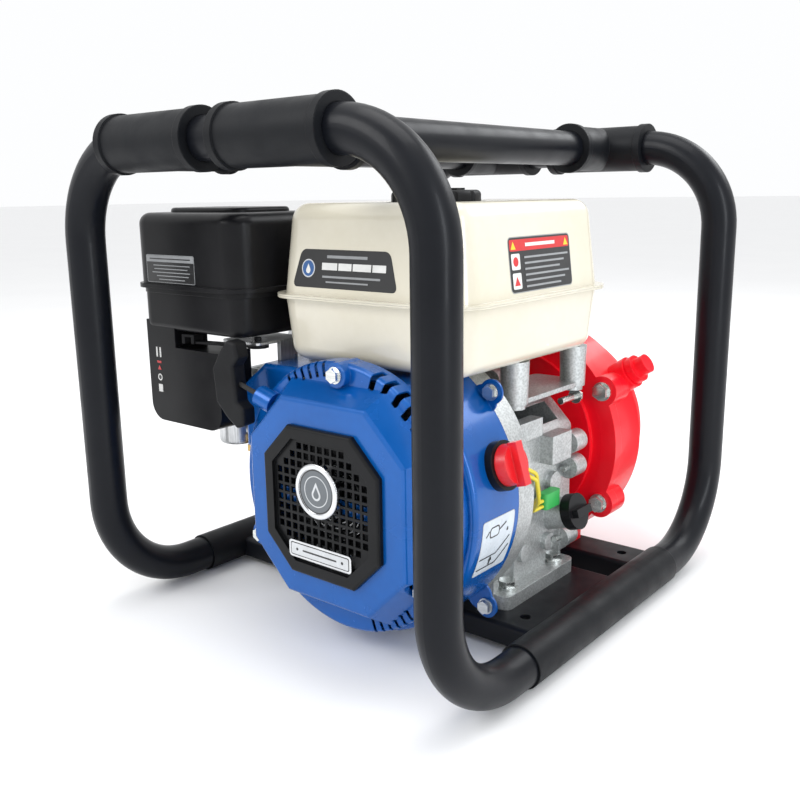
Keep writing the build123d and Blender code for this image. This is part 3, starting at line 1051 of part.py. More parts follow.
# volute round the impeller, cast in one piece with the casing
VOLUTE_R = IMPELLER_R + 4
volute_y = (IMPELLER_Y[0] + 2, IMPELLER_Y[1] + 10)
volute = ring((CX, volute_y[0], CZ), (CX, volute_y[1], CZ), VOLUTE_R + 4, VOLUTE_R)
for angle in (0, 180, 300):
    rib = block((CX + VOLUTE_R + 1, CX + PUMP_NOSE_R - 2), (PUMP_DRUM_Y - 4, volute_y[1]), (CZ - 3, CZ + 3))
    volute += Pos(CX, 0, CZ) * Rot(0, -angle, 0) * Pos(-CX, 0, -CZ) * rib
eye_wall = disc_y((IMPELLER_Y[1] + 6, IMPELLER_Y[1] + 10), VOLUTE_R + 2) - disc_y(
    (IMPELLER_Y[1] + 5, IMPELLER_Y[1] + 11), 30
)
casing += (volute + eye_wall) - rod((*discharge, CZ + 20), (*discharge, CZ + 120), 18)
nodes["pump_casing"] = casing.solids().sort_by(SortBy.VOLUME)[-1]

impeller = disc_y((IMPELLER_Y[0], IMPELLER_Y[0] + 4), IMPELLER_R)
impeller += disc_y((IMPELLER_Y[0], IMPELLER_Y[1]), 17)
VANES = 6
for index in range(VANES):
    start_angle = index * 360 / VANES
    for step in range(4):
        a = polar(start_angle - step * 16, 18 + step * 12, IMPELLER_Y[0])
        b = polar(start_angle - (step + 1) * 16, 18 + (step + 1) * 12, IMPELLER_Y[0])
        vane_dir = (b - a).normalized()
        vane_plane = Plane(origin=(a + b) / 2, x_dir=vane_dir, z_dir=(0, 1, 0))
        vane = vane_plane * Pos(0, 0, (IMPELLER_Y[1] - IMPELLER_Y[0]) / 2 - 1)
        impeller += vane * Box((b - a).length + 3, 4, IMPELLER_Y[1] - IMPELLER_Y[0] - 2)
impeller -= disc_y((IMPELLER_Y[0] - 1, IMPELLER_Y[1] + 1), SHAFT_R)
nodes["impeller"] = impeller.solids().sort_by(SortBy.VOLUME)[-1]
seal_y = (PUMP_COVER_Y[1] - 8, IMPELLER_Y[0] - 1)
nodes["mechanical_seal"] = disc_y(seal_y, SEAL_R) - disc_y((seal_y[0] - 1, seal_y[1] + 1), SHAFT_R + RUN_FIT)

suction_y = PUMP_NOSE_Y + 8


def port_flange(base, direction):
    """Bolted flange with a threaded hose nipple."""
    base = Vector(*base)
    out = Vector(*direction)
    body = rod(base, base + out * FLANGE_T, FLANGE_R)
    body += rod(base, base + out * (FLANGE_T + NIPPLE_LEN), NIPPLE_R)
    groove = FLANGE_T + NIPPLE_LEN - 3
    body = chamfer(body.edges().sort_by(Axis(base, out))[-1], 1.0)
    body -= rod(base - out, base + out * (groove + 5), PORT_R)
    return body


nodes["suction_flange"] = port_flange((CX, suction_y, suction_z), (0, 1, 0))
nodes["discharge_flange"] = port_flange((*discharge, DISCHARGE_FLANGE_Z), (0, 0, 1))

# non-return flap just inside the suction port, hung from a pin across its top
flap_y = (PUMP_NOSE_Y - PUMP_WALL - 6, PUMP_NOSE_Y - PUMP_WALL - GAP)
FLAP_PIN_Z = suction_z + PORT_R + 4
flap = disc_y(flap_y, PORT_R + 3, CX, suction_z)
flap += block((CX - 12, CX + 12), flap_y, (suction_z, FLAP_PIN_Z))
flap_mid = (flap_y[0] + flap_y[1]) / 2
flap += rod((CX - 12, flap_mid, FLAP_PIN_Z), (CX + 12, flap_mid, FLAP_PIN_Z), (flap_y[1] - flap_y[0]) / 2)
nodes["check_valve"] = flap & disc_y((0, 300), PUMP_NOSE_R - PUMP_WALL - 2)

priming = rod(plug_root + plug_dir_out * 101, plug_root + plug_dir_out * (PLUG_BOSS_END + 1), PLUG_R - 0.06)
priming += rod(
    plug_root + plug_dir_out * (PLUG_BOSS_END + GAP), plug_root + plug_dir_out * (PLUG_BOSS_END + 8), PLUG_BOSS_R - 2
)
priming += rod(
    plug_root + plug_dir_out * (PLUG_BOSS_END + 8), plug_root + plug_dir_out * (PLUG_BOSS_END + 18), PLUG_R
)
nodes["priming_plug"] = priming


# ---------------------------------------------------------------- fasteners
m8_bolts = []
for angle in bolt_angles:
    point = polar(angle, BOLT_CIRCLE, PUMP_COVER_Y[0])
    m8_bolts.append(hex_bolt(point, (0, -1, 0), BOLT_R * 2, 24))
for x in FOOT_BOLT_X:
    for y in FOOT_BOLT_Y:
        m8_bolts.append(hex_bolt((x, y, PLATE_TOP + FOOT_T), (0, 0, 1), FOOT_BOLT_R * 2, FOOT_T + 8))
for side in (-1, 1):
    seat = (CX + side * PUMP_FOOT_X, REAR_MOUNT_Y, PLATE_TOP - PLATE_T)
    m8_bolts.append(hex_bolt(seat, (0, 0, -1), FOOT_BOLT_R * 2, PLATE_T + 11))
nodes["m8_bolts"] = group(m8_bolts)
m6_bolts = []
for angle in RECOIL_BOLT_ANGLES:
    m6_bolts.append(hex_bolt(polar(angle, RECOIL_R - 9, RECOIL_SHOULDER - 6), (0, -1, 0), 6, 16))
for point in fan_tabs:
    m6_bolts.append(hex_bolt((point.X, FAN_Y[1] - SHEET, point.Z), (0, -1, 0), 6, 10))
for x, z in side_boss_points:
    m6_bolts.append(hex_bolt((x, SIDE_COVER_Y + 4, z), (0, 1, 0), 6, 26))
nodes["m6_bolts"] = group(m6_bolts)


# ---------------------------------------------------------------- write one file per node
os.makedirs("parts", exist_ok=True)
for name, shape in nodes.items():
    shape.label = name
    export_step(shape, f"parts/{name}.step")
print(len(nodes), "nodes")
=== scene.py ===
"""Looks, printed labels, stage, light and camera for the portable fire pump."""

import json
import math

import bmesh
import bpy
from mathutils import Matrix, Vector
from mathutils.bvhtree import BVHTree


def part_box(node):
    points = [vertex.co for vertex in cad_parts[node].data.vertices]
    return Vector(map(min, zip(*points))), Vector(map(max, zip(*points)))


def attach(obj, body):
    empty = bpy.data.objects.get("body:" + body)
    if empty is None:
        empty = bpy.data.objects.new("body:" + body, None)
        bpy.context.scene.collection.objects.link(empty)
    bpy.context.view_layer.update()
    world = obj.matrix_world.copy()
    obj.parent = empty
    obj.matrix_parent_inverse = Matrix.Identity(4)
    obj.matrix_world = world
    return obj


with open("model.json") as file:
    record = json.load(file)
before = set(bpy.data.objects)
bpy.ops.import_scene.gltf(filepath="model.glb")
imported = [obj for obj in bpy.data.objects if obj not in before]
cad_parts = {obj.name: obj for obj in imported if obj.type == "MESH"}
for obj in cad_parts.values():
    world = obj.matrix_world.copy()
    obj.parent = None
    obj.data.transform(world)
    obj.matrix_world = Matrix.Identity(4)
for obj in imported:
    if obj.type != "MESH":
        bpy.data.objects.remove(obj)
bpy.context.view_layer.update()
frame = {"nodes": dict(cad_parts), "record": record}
nodes = frame["nodes"]
ROOT = "frame_and_engine"
MM = 0.001
CRANK_X, CRANK_Z = 0.042, 0.130  # the crankshaft's line, along Y
SMOOTH_ANGLE = math.radians(32)  # faces that meet more sharply than this keep their edge

# How much each finish reflects, as the shader's specular level; plain enamel would be 0.5.
ENAMEL_SPECULAR = 0.3
DARK_PAINT_SPECULAR = 0.17
DARK_PLASTIC_SPECULAR = 0.2


# ---------------------------------------------------------------- materials
class Look:
    """One procedural material, built up from a principled shader."""

    def __init__(self, name, roughness=0.5, metallic=0.0, **sockets):
        self.material = bpy.data.materials.new(name)
        self.material.use_nodes = True
        self.tree = self.material.node_tree
        self.shader = self.tree.nodes["Principled BSDF"]
        self.place = self.tree.nodes.new("ShaderNodeTexCoord").outputs["Object"]
        self.normal = None
        self.set("Roughness", roughness)
        self.set("Metallic", metallic)
        for key, value in sockets.items():
            self.set(key.replace("_", " "), value)

    def set(self, socket, value):
        self.shader.inputs[socket].default_value = value

    def join(self, source, target):
        self.tree.links.new(source, target)

    def node(self, kind, **settings):
        node = self.tree.nodes.new("ShaderNode" + kind)
        for key, value in settings.items():
            setattr(node, key, value)
        return node

    def scaled(self, factors):
        mapping = self.node("Mapping")
        mapping.inputs["Scale"].default_value = factors
        self.join(self.place, mapping.inputs["Vector"])
        return mapping.outputs["Vector"]

    def noise(self, scale, detail=4.0, stretch=None, seed=0.0):
        node = self.node("TexNoise", noise_dimensions="4D")
        node.inputs["Scale"].default_value = scale
        node.inputs["Detail"].default_value = detail
        node.inputs["W"].default_value = seed
        self.join(self.scaled(stretch) if stretch else self.place, node.inputs["Vector"])
        return node.outputs["Fac"]

    def cells(self, scale):
        node = self.node("TexVoronoi")
        node.inputs["Scale"].default_value = scale
        self.join(self.place, node.inputs["Vector"])
        return node.outputs["Distance"]

    def fit(self, value, low, high, to_low, to_high):
        node = self.node("MapRange")
        keys = ("From Min", "From Max", "To Min", "To Max")
        for key, number in zip(keys, (low, high, to_low, to_high)):
            node.inputs[key].default_value = number
        self.join(value, node.inputs["Value"])
        return node.outputs["Result"]

    def math(self, operation, first, second):
        node = self.node("Math", operation=operation)
        for value, socket in zip((first, second), node.inputs):
            if isinstance(value, (int, float)):
                socket.default_value = value
            else:
                self.join(value, socket)
        return node.outputs[0]

    def blend(self, factor, first, second):
        colour_a, colour_b, result = 6, 7, 2  # the Mix node's colour sockets
        node = self.node("Mix", data_type="RGBA")
        self.join(factor, node.inputs["Factor"])
        for value, key in ((first, colour_a), (second, colour_b)):
            if isinstance(value, tuple):
                node.inputs[key].default_value = (*value, 1.0)
            else:
                self.join(value, node.inputs[key])
        return node.outputs[result]

    def colour(self, value):
        if isinstance(value, tuple):
            self.set("Base Color", (*value, 1.0))
        else:
            self.join(value, self.shader.inputs["Base Color"])
        return self

    def rough(self, value):
        self.join(value, self.shader.inputs["Roughness"])
        return self

    def bump(self, height, strength, distance):
        node = self.node("Bump")
        node.inputs["Strength"].default_value = strength
        node.inputs["Distance"].default_value = distance
        self.join(height, node.inputs["Height"])
        if self.normal:
            self.join(self.normal, node.inputs["Normal"])
        self.normal = node.outputs["Normal"]
        self.join(self.normal, self.shader.inputs["Normal"])
        return self

    def soften_edges(self, radius):
        """Edges catch the light as if they were broken by this radius."""
        node = self.node("Bevel", samples=4)
        node.inputs["Radius"].default_value = radius
        self.normal = node.outputs["Normal"]
        self.join(self.normal, self.shader.inputs["Normal"])
        return self

    def radius_from(self, x, z):
        """Distance from a line along Y through x, z."""
        split = self.node("SeparateXYZ")
        self.join(self.place, split.inputs[0])
        across = self.math("SUBTRACT", split.outputs["X"], x)
        up = self.math("SUBTRACT", split.outputs["Z"], z)
        squares = [self.math("MULTIPLY", side, side) for side in (across, up)]
        return self.math("SQRT", self.math("ADD", *squares), 0.0)


def painted(name, dark, light, roughness, coat, edge=0.0006, metallic=0.0, peel=0.04):
    """Paint with a slow drift in tint, faint orange peel and rubbed patches in the gloss."""
    look = Look(name, metallic=metallic, Coat_Weight=coat, Coat_Roughness=0.08)
    look.soften_edges(edge)
    drift = look.noise(14, 3, seed=1.0)
    fine = look.noise(160, 6, seed=2.0)
    tint = look.math("ADD", look.math("MULTIPLY", drift, 0.75), look.math("MULTIPLY", fine, 0.25))
    look.colour(look.blend(look.fit(tint, 0.3, 0.7, 0, 1), dark, light))
    rubbed = look.fit(look.noise(45, 8, seed=3.0), 0.35, 0.7, roughness * 0.85, roughness * 1.25)
    look.rough(rubbed)
    look.bump(look.noise(420, 2, seed=4.0), peel, 0.0004)
    return look


def cast(name, dark, light, roughness, grain, edge=0.0008):
    """Sand-cast metal: a pebbled skin with darker pits and a little staining."""
    look = Look(name, metallic=0.75)
    look.soften_edges(edge)
    stain = look.noise(28, 8, seed=5.0)
    pits = look.cells(grain)
    mottled = look.math("ADD", look.math("MULTIPLY", stain, 0.7), look.math("MULTIPLY", pits, 0.5))
    look.colour(look.blend(look.fit(mottled, 0.3, 0.75, 0, 1), dark, light))
    look.rough(look.fit(stain, 0.3, 0.7, roughness * 0.85, roughness * 1.2))
    look.bump(look.noise(grain * 0.8, 5, seed=6.0), 0.35, 0.0005)
    return look


def machined(name, dark, light, roughness, along=(1, 30, 1), edge=0.0004):
    """Turned or ground metal with fine tool lines."""
    look = Look(name, metallic=1.0, Anisotropic=0.4)
    look.soften_edges(edge)
    lines = look.noise(60, 6, stretch=along, seed=7.0)
    look.colour(look.blend(look.fit(lines, 0.35, 0.65, 0, 1), dark, light))
    look.rough(look.fit(look.noise(40, 5, seed=8.0), 0.3, 0.7, roughness * 0.8, roughness * 1.3))
    look.bump(lines, 0.12, 0.0002)
    return look


def moulded(name, dark, light, roughness, grain=900, edge=0.0008, coat=0.0, texture=0.12):
    """Moulded plastic with a spark-eroded grain."""
    look = Look(name, Coat_Weight=coat, Coat_Roughness=0.2)
    look.soften_edges(edge)
    look.colour(look.blend(look.fit(look.noise(30, 5, seed=9.0), 0.3, 0.7, 0, 1), dark, light))
    look.rough(look.fit(look.noise(70, 6, seed=10.0), 0.3, 0.7, roughness * 0.88, roughness * 1.12))
    look.bump(look.noise(grain, 3, seed=11.0), texture, 0.0003)
    return look


def print_ink(name, colour, roughness=0.35):
    """Printed film: nearly even ink, with a faint tooth and slight unevenness in the gloss."""
    look = Look(name, Coat_Weight=0.3, Coat_Roughness=0.15)
    deeper = tuple(channel * 0.86 for channel in colour)
    look.colour(look.blend(look.fit(look.noise(90, 4, seed=12.0), 0.3, 0.7, 0, 1), deeper, colour))
    look.rough(look.fit(look.noise(200, 4, seed=13.0), 0.3, 0.7, roughness * 0.85, roughness * 1.2))
    look.bump(look.noise(1500, 2, seed=14.0), 0.05, 0.0001)
    return look.material


black_tube = painted("black_tube", (0.0035, 0.0042, 0.0065), (0.006, 0.007, 0.010), 0.34, 0.04, 0.001)
black_sheet = painted("black_sheet", (0.0045, 0.005, 0.007), (0.008, 0.009, 0.012), 0.42, 0.02)
fitting_black = painted(
    "fitting_black", (0.004, 0.0045, 0.006), (0.007, 0.008, 0.010), 0.46, 0.0, 0.0015, peel=0.12
)
blue = painted(
    "blue_enamel", (0.0008, 0.072, 0.30), (0.001, 0.100, 0.40), 0.24, 0.28, 0.0014, metallic=0.2
)
cream = painted("cream_enamel", (0.66, 0.615, 0.49), (0.72, 0.68, 0.57), 0.22, 0.5, 0.0015, peel=0.02)
red = painted("red_enamel", (0.78, 0.002, 0.010), (0.92, 0.004, 0.018), 0.34, 0.2, 0.0012)
aluminium = cast("cast_aluminium", (0.33, 0.345, 0.345), (0.58, 0.60, 0.60), 0.42, 520)
iron = cast("cast_iron", (0.10, 0.10, 0.105), (0.2, 0.2, 0.205), 0.55, 600)
steel = machined("machined_steel", (0.42, 0.43, 0.44), (0.66, 0.67, 0.68), 0.28)
dark_steel = machined("blackened_steel", (0.06, 0.06, 0.065), (0.12, 0.12, 0.125), 0.45)
zinc = machined("zinc_plate", (0.55, 0.57, 0.56), (0.80, 0.82, 0.80), 0.24, along=(1, 1, 8))
brass = machined("turned_brass", (0.48, 0.31, 0.10), (0.72, 0.50, 0.20), 0.3, along=(1, 1, 12))
chrome = machined("polished_chrome", (0.62, 0.63, 0.65), (0.78, 0.79, 0.80), 0.12)
black_plastic = moulded(
    "black_plastic", (0.0035, 0.0035, 0.0045), (0.0065, 0.0065, 0.008), 0.34, texture=0.06
)
dull_plastic = moulded("dull_plastic", (0.006, 0.006, 0.007), (0.012, 0.0125, 0.014), 0.5, 700)
grille_plastic = moulded(
    "grille_plastic", (0.0035, 0.004, 0.0045), (0.007, 0.0072, 0.0085), 0.36, 1100, 0.0005
)
red_plastic = moulded("red_plastic", (0.55, 0.006, 0.010), (0.75, 0.012, 0.02), 0.3, 1200, 0.001, coat=0.3)
rubber = moulded("black_rubber", (0.010, 0.010, 0.010), (0.022, 0.022, 0.022), 0.75, 500, texture=0.2)
foam = moulded("filter_foam", (0.05, 0.05, 0.055), (0.14, 0.14, 0.15), 0.95, 260, texture=0.9)
rope = moulded("braided_rope", (0.015, 0.015, 0.015), (0.06, 0.06, 0.06), 0.9, 420, texture=0.8)
yellow_wire = moulded("yellow_wire", (0.62, 0.50, 0.02), (0.80, 0.68, 0.06), 0.4, 900)
black_wire = moulded("black_wire", (0.008, 0.008, 0.008), (0.02, 0.02, 0.02), 0.4, 900)
green_plastic = moulded("green_connector", (0.02, 0.30, 0.06), (0.05, 0.45, 0.10), 0.4, 900)

for specular, looks in (
    (ENAMEL_SPECULAR, (blue, red)),
    (DARK_PAINT_SPECULAR, (black_tube, black_sheet, fitting_black)),
    (DARK_PLASTIC_SPECULAR, (black_plastic, dull_plastic, grille_plastic)),
):
    for look in looks:
        look.set("Specular IOR Level", specular)

# Faint turned grooves run round the crankshaft's line on the red paint.
GROOVE_RADIANS_PER_METRE = 420.0
groove = red.math("MULTIPLY", red.radius_from(CRANK_X, CRANK_Z), GROOVE_RADIANS_PER_METRE)
rings = red.math("SINE", groove, 0.0)
red.bump(red.fit(rings, 0.9, 1.0, 0.0, 1.0), 0.15, 0.0004)

LOOKS = {
    "black_tube": black_tube,
    "black_sheet": black_sheet,
    "cast_aluminium": aluminium,
    "machined_steel": steel,
    "cast_iron": iron,
    "blue_paint": blue,
    "cream_paint": cream,
    "red_paint": red,
    "black_plastic": black_plastic,
    "red_plastic": red_plastic,
    "zinc": zinc,
    "brass": brass,
    "rubber": rubber,
    "rope": rope,
    "foam": foam,
    "badge_metal": chrome,
    "wire_sheath": black_wire,
}
SPECIAL = {
    "tee_fittings": fitting_black,
    "ground_tubes": fitting_black,
    "grille": grille_plastic,
    "muffler": dark_steel,
    "throttle_lever": dull_plastic,
    "recoil_handle": dull_plastic,
    "fuel_cap": dull_plastic,
    "rocker_cover": steel,
    "connecting_rod": steel,
}

for entry in frame["record"]["subparts"]:
    name = entry["node"]
    look = SPECIAL.get(name, LOOKS[entry["material_slot"]])
    mesh = nodes[name].data
    mesh.materials.clear()
    mesh.materials.append(look.material)
    mesh.shade_smooth()
    mesh.set_sharp_from_angle(angle=SMOOTH_ANGLE)


def repaint(node, choose):
    """Gives each face of a CAD node the material that choose(centre, normal) returns, or leaves it."""
    mesh = nodes[node].data
    for face in mesh.polygons:
        look = choose(face.center, face.normal)
        if look is None:
            continue
        if look.material.name not in [m.name for m in mesh.materials]:
            mesh.materials.append(look.material)
        face.material_index = [m.name for m in mesh.materials].index(look.material.name)


CONNECTOR_Y = -0.0045  # the plug-in connector begins here
WIRES_PART_AT = Vector((0, -0.084, 0.137))  # a sloping line from here parts the two wires
WIRES_PART_SLOPE = 1.1


def wire_finish(centre, normal):
    if centre.y > CONNECTOR_Y:
        return green_plastic
    line = WIRES_PART_AT.z - (centre.y - WIRES_PART_AT.y) * WIRES_PART_SLOPE
    return yellow_wire if centre.z > line else black_wire


repaint("switch_wiring", wire_finish)

# ---------------------------------------------------------------- printed labels
CORNER_STEPS = 6
DROP_STEPS = 25
SPLIT_PASSES = 6
RAY_START, RAY_REACH = 0.03, 0.08  # a label is dropped on its surface from this far out
PRINT_LIFT, LAYER_STEP = 0.00012, 0.00004  # above the surface, and from one ink to the next


def bar(width, height, x=0.0, y=0.0, lean=0.0):
    """A rectangle of printed ink; lean shifts its top sideways."""
    return [
        (x - width / 2, y - height / 2),
        (x + width / 2, y - height / 2),
        (x + width / 2 + lean, y + height / 2),
        (x - width / 2 + lean, y + height / 2),
    ]


def rounded(width, height, radius, x=0.0, y=0.0, taper=0.0):
    """A rectangle with round corners; its top edge is narrower by taper at each end."""
    points = []
    for sx, sy, start in ((1, -1, -90), (1, 1, 0), (-1, 1, 90), (-1, -1, 180)):
        for step in range(CORNER_STEPS):
            angle = math.radians(start + 90 / (CORNER_STEPS - 1) * step)
            px = sx * (width / 2 - radius) + radius * math.cos(angle)
            py = sy * (height / 2 - radius) + radius * math.sin(angle)
            px -= math.copysign(taper * (py / height + 0.5), px)
            points.append((x + px, y + py))
    return points


def disc(radius, x=0.0, y=0.0, sides=48):
    turn = 2 * math.pi / sides
    return [(x + radius * math.cos(i * turn), y + radius * math.sin(i * turn)) for i in range(sides)]


def triangle(size, x=0.0, y=0.0):
    return [(x - size / 2, y - size * 0.43), (x + size / 2, y - size * 0.43), (x, y + size * 0.43)]


def drop(radius, x=0.0, y=0.0):
    """A water drop: a round foot drawn up to a point."""
    points = [(x, y + radius * 2.2)]
    for step in range(DROP_STEPS):
        angle = math.radians(150 + 240 * step / (DROP_STEPS - 1))
        points.append((x + radius * math.cos(angle), y + radius * math.sin(angle)))
    return points


def filled(outline, spacing):
    """An outline as triangles with no edge longer than spacing: points and faces."""
    work = bmesh.new()
    face = work.faces.new([work.verts.new((x, y, 0)) for x, y in outline])
    bmesh.ops.triangulate(work, faces=[face])
    for _ in range(SPLIT_PASSES):
        long_edges = [e for e in work.edges if e.calc_length() > spacing]
        if not long_edges:
            break
        bmesh.ops.subdivide_edges(work, edges=long_edges, cuts=1)
        bmesh.ops.triangulate(work, faces=work.faces[:])
    work.verts.index_update()
    points = [vert.co.copy() for vert in work.verts]
    faces = [[vert.index for vert in face.verts] for face in work.faces]
    work.free()
    return points, faces


def label(name, node, origin, across, up, layers, body=ROOT, spacing=5.0):
    """Lays printed outlines, in millimetres from origin, onto a CAD node's surface."""
    across, up = Vector(across), Vector(up)
    out = across.cross(up)
    source = nodes[node].data
    corners = [vertex.co for vertex in source.vertices]
    tree = BVHTree.FromPolygons(corners, [face.vertices for face in source.polygons])
    points, faces, inks = [], [], []
    mesh = bpy.data.meshes.new(name)
    for index, (material, outline) in enumerate(layers):
        flat, triangles = filled(outline, spacing)
        faces += [[len(points) + corner for corner in face] for face in triangles]
        if material.name not in inks:
            inks.append(material.name)
            mesh.materials.append(material)
        for spot in flat:
            start = Vector(origin) + across * spot.x * MM + up * spot.y * MM + out * RAY_START
            place, normal, _, _ = tree.ray_cast(start, -out, RAY_REACH)
            if place is None:
                raise ValueError(name + " hangs over the edge of " + node)
            if normal.dot(out) < 0:
                normal = -normal
            raised = place + normal * (PRINT_LIFT + index * LAYER_STEP)
            points.append((raised, inks.index(material.name)))
    mesh.from_pydata([point for point, _ in points], [], faces)
    for face in mesh.polygons:
        face.material_index = points[face.vertices[0]][1]
        face.use_smooth = True
    piece = bpy.data.objects.new(name, mesh)
    bpy.context.scene.collection.objects.link(piece)
    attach(piece, body)
    return piece


ink_black = print_ink("ink_black", (0.010, 0.010, 0.011))
ink_white = print_ink("ink_white", (0.78, 0.78, 0.76))
ink_grey = print_ink("ink_grey", (0.30, 0.31, 0.32))
ink_red = print_ink("ink_red", (0.62, 0.012, 0.015))
ink_yellow = print_ink("ink_yellow", (0.85, 0.60, 0.02))
ink_slate = print_ink("ink_slate", (0.12, 0.135, 0.15))
ink_blue = print_ink("ink_blue", (0.02, 0.10, 0.30))
film_white = print_ink("film_white", (0.60, 0.66, 0.72), 0.3)
film_silver = print_ink("film_silver", (0.62, 0.64, 0.66), 0.25)

X, Y, Z = Vector((1, 0, 0)), Vector((0, 1, 0)), Vector((0, 0, 1))

tank_low, tank_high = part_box("tank_upper_shell")
front_label = [
    (ink_black, rounded(110, 30, 5, taper=9)),
    (film_silver, disc(7.2, -38, 0)),
    (ink_blue, disc(6.2, -38, 0)),
    (ink_white, drop(2.4, -38, -1.6)),
    (ink_grey, bar(42, 2.2, 3, 9.5)),
    (ink_white, bar(66, 5.5, 10, 2)),
    (ink_black, bar(1.2, 6, -6, 2)),
    (ink_black, bar(1.2, 6, 9, 2)),
    (ink_black, bar(1.2, 6, 29, 2)),
    (ink_grey, bar(60, 1.6, 8, -6)),
    (ink_grey, bar(44, 1.2, 4, -10)),
]
label("tank_front_label", "tank_upper_shell", (0.0275, tank_low.y + 0.006, 0.3055), X, Z, front_label)

warning_label = [
    (ink_grey, rounded(92, 42, 4)),
    (ink_black, rounded(90.5, 40.5, 3.4)),
    (ink_red, rounded(88, 8.6, 1.6, 0, 14.6)),
    (ink_yellow, triangle(7, -39, 14.6)),
    (ink_yellow, triangle(7, 39, 14.6)),
    (ink_white, bar(44, 2.6, 0, 14.6)),
    (ink_white, rounded(12, 12, 1.4, -37, 2.4)),
    (ink_red, disc(3.6, -37, 2.4)),
    (ink_white, rounded(12, 12, 1.4, -37, -12)),
    (ink_red, triangle(8, -37, -12)),
]
for row in range(6):
    shorter = row % 3
    line = bar(66 - 7 * shorter, 1.5, 8 - 3.5 * shorter, 5.2 - 4.4 * row)
    warning_label.append((ink_grey, line))
label("tank_side_label", "tank_upper_shell", (tank_high.x - 0.006, -0.027, 0.3085), Y, Z, warning_label)

air_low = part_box("air_cleaner_cover")[0]
duct_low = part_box("air_cleaner_base")[0]
air_label = [
    (ink_grey, rounded(66, 24, 1.5)),
    (ink_black, rounded(64.8, 22.8, 1.1)),
    (ink_grey, bar(64.6, 5.4, 0, 8.6)),
    (ink_black, bar(56, 1.0, 0, 8.6)),
    (ink_grey, bar(50, 0.8, 2, 3)),
    (ink_grey, bar(46, 0.8, 1, 0)),
    (ink_grey, bar(52, 0.8, 1, -3)),
    (ink_grey, bar(44, 0.8, 3, -6)),
    (ink_grey, bar(36, 0.8, 2, -9)),
]
label(
    "air_cleaner_label", "air_cleaner_cover", (-0.1445, air_low.y + 0.01, 0.3015), X, Z, air_label,
    body="air_cleaner_cover",
)

duct_marks = [
    (ink_white, bar(2.2, 9, -2.5, 18)),
    (ink_white, bar(2.2, 9, 2.5, 18)),
    (ink_red, bar(6, 2, 0, 9)),
    (ink_red, triangle(5, 0, 4)),
    (ink_white, disc(3.2, 0, -5)),
    (ink_black, disc(2.0, 0, -5)),
    (ink_white, bar(6, 7, 0, -15)),
]
label("duct_marks", "air_cleaner_base", (-0.175, duct_low.y + 0.008, 0.208), X, Z, duct_marks)


def stroke(x1, y1, x2, y2, width=1.0):
    """A straight printed line between two points."""
    run = Vector((x2 - x1, y2 - y1))
    side = Vector((-run.y, run.x)).normalized() * width / 2
    ends = [(x1, y1), (x2, y2)]
    low = [(x - side.x, y - side.y) for x, y in ends]
    high = [(x + side.x, y + side.y) for x, y in ends]
    return low + high[::-1]


# Fill-level pictogram: a can pouring into a tilted sump with a level mark.
oil_sticker = [
    (ink_grey, rounded(43, 46, 2.5)),
    (film_white, rounded(42, 45, 2.2)),
    (ink_black, rounded(13, 9, 3, -5, 12)),
    (film_white, rounded(10.6, 6.6, 2.2, -5, 12)),
    (ink_black, stroke(1, 12, 10, 16, 1.4)),
    (ink_black, stroke(-12, 14, -16, 10, 1.2)),
    (ink_black, drop(1.2, 12.5, 9)),
    (ink_black, stroke(-19, -8, 2, -8)),
    (ink_black, stroke(2, -8, 17, 3)),
    (ink_black, stroke(-19, -17, 5, -17)),
    (ink_black, stroke(5, -17, 18, -5)),
    (ink_black, stroke(-4, -16, -4, -12, 1.6)),
    (ink_black, triangle(4.4, -4, -10.5)),
]
label("oil_sticker", "fan_cover", (0.150, -0.1105, 0.104), Y, Z, oil_sticker, spacing=3.0)

BADGE_Z, NAME_PLATE_Z = 0.143, 0.091
badge_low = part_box("badges")[0]
badge = [
    (ink_black, disc(17.6)),
    (ink_slate, disc(16.4)),
    (film_silver, disc(12.4)),
    (ink_slate, disc(11.6)),
    (film_silver, drop(4.6, 0, -2.6)),
    (ink_slate, drop(2.9, 0, -2.6)),
]
label("round_badge_print", "badges", (CRANK_X, badge_low.y, BADGE_Z), X, Z, badge)
plate = [
    (ink_black, rounded(62, 10.6, 1.6)),
    (film_silver, rounded(60.6, 9.2, 1.2)),
    (ink_black, bar(36, 1.4, 0, 0)),
    (ink_black, disc(1.2, -24, 0)),
    (ink_black, disc(1.2, 24, 0)),
]
label("name_plate_print", "badges", (CRANK_X, badge_low.y, NAME_PLATE_Z), X, Z, plate)

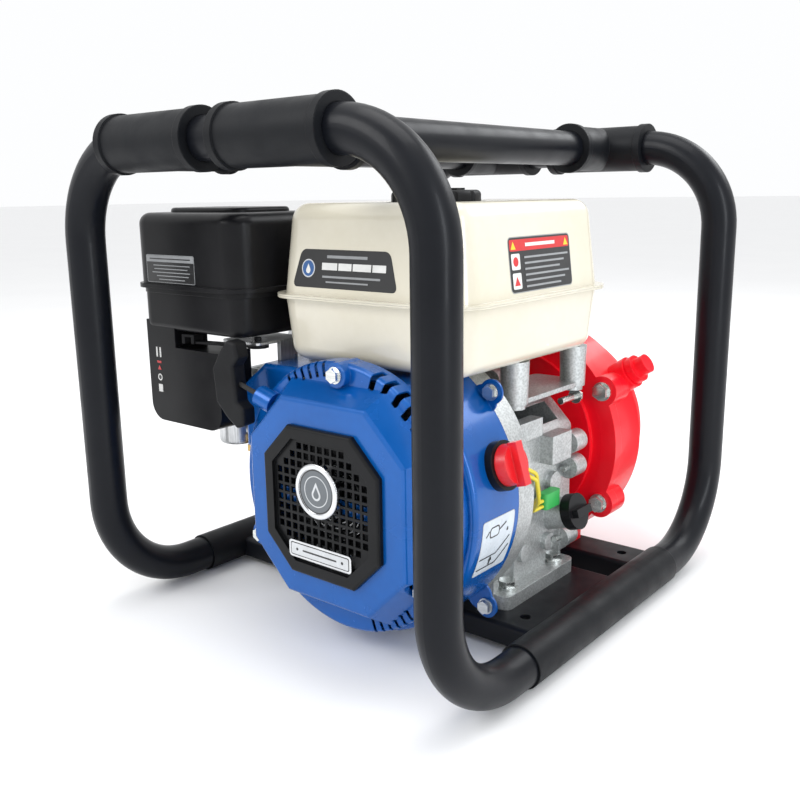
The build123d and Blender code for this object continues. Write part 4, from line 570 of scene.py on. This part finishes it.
# ---------------------------------------------------------------- stage, light and camera
FLOOR_HALF = 40
floor_corners = [(sx * FLOOR_HALF, sy * FLOOR_HALF, 0) for sx, sy in ((-1, -1), (1, -1), (1, 1), (-1, 1))]
floor_mesh = bpy.data.meshes.new("studio_floor")
floor_mesh.from_pydata(floor_corners, [], [(0, 1, 2, 3)])
floor = bpy.data.objects.new("studio_floor", floor_mesh)
bpy.context.scene.collection.objects.link(floor)
floor_look = Look("studio_paper", roughness=0.85)
paper = floor_look.noise(3, 2, seed=20.0)
floor_look.colour(floor_look.blend(paper, (0.86, 0.86, 0.865), (0.90, 0.90, 0.90)))
floor_mesh.materials.append(floor_look.material)


def area_light(name, place, target, size, power, colour=(1, 1, 1)):
    light = bpy.data.lights.new(name, "AREA")
    light.shape = "RECTANGLE"
    light.size, light.size_y = size
    light.energy = power
    light.color = colour
    lamp = bpy.data.objects.new(name, light)
    lamp.location = place
    lamp.rotation_euler = (Vector(target) - Vector(place)).to_track_quat("-Z", "Y").to_euler()
    bpy.context.scene.collection.objects.link(lamp)
    return lamp


middle = (0.0, 0.0, 0.2)
area_light("key", (-0.7, -1.6, 1.5), middle, (1.0, 1.0), 17)
area_light("side", (1.9, -0.5, 0.8), middle, (0.35, 1.5), 15, (0.90, 0.95, 1.0))
area_light("back", (0.6, 1.6, 1.5), middle, (1.4, 0.8), 14, (0.96, 0.98, 1.0))
area_light("top", (0.0, 0.0, 2.0), middle, (1.2, 1.2), 13)

world = bpy.data.worlds.new("studio")
world.use_nodes = True
background = world.node_tree.nodes["Background"].inputs
background["Color"].default_value = (0.985, 0.992, 1.0, 1)
background["Strength"].default_value = 1.0
bpy.context.scene.world = world
bpy.context.scene.view_settings.view_transform = "Standard"

# Solved from the photo: where the camera stands, its turn about Z, its dip and its roll.
CAMERA_AT = (0.51426, -0.65673, 0.36293)
turn, dip, roll = math.radians(39.60), math.radians(12.71), math.radians(-0.84)
ahead = Vector((-math.sin(turn) * math.cos(dip), math.cos(turn) * math.cos(dip), -math.sin(dip)))
level = Vector((math.cos(turn), math.sin(turn), 0))
upward = level.cross(ahead)
right = math.cos(roll) * level + math.sin(roll) * upward
top = math.cos(roll) * upward - math.sin(roll) * level
lens = bpy.data.cameras.new("camera")
lens.lens = 41.34
lens.sensor_width = 36
camera = bpy.data.objects.new("camera", lens)
facing = Matrix((right, top, -ahead)).transposed().to_4x4()
camera.matrix_world = Matrix.Translation(CAMERA_AT) @ facing
bpy.context.scene.collection.objects.link(camera)
bpy.context.scene.camera = camera
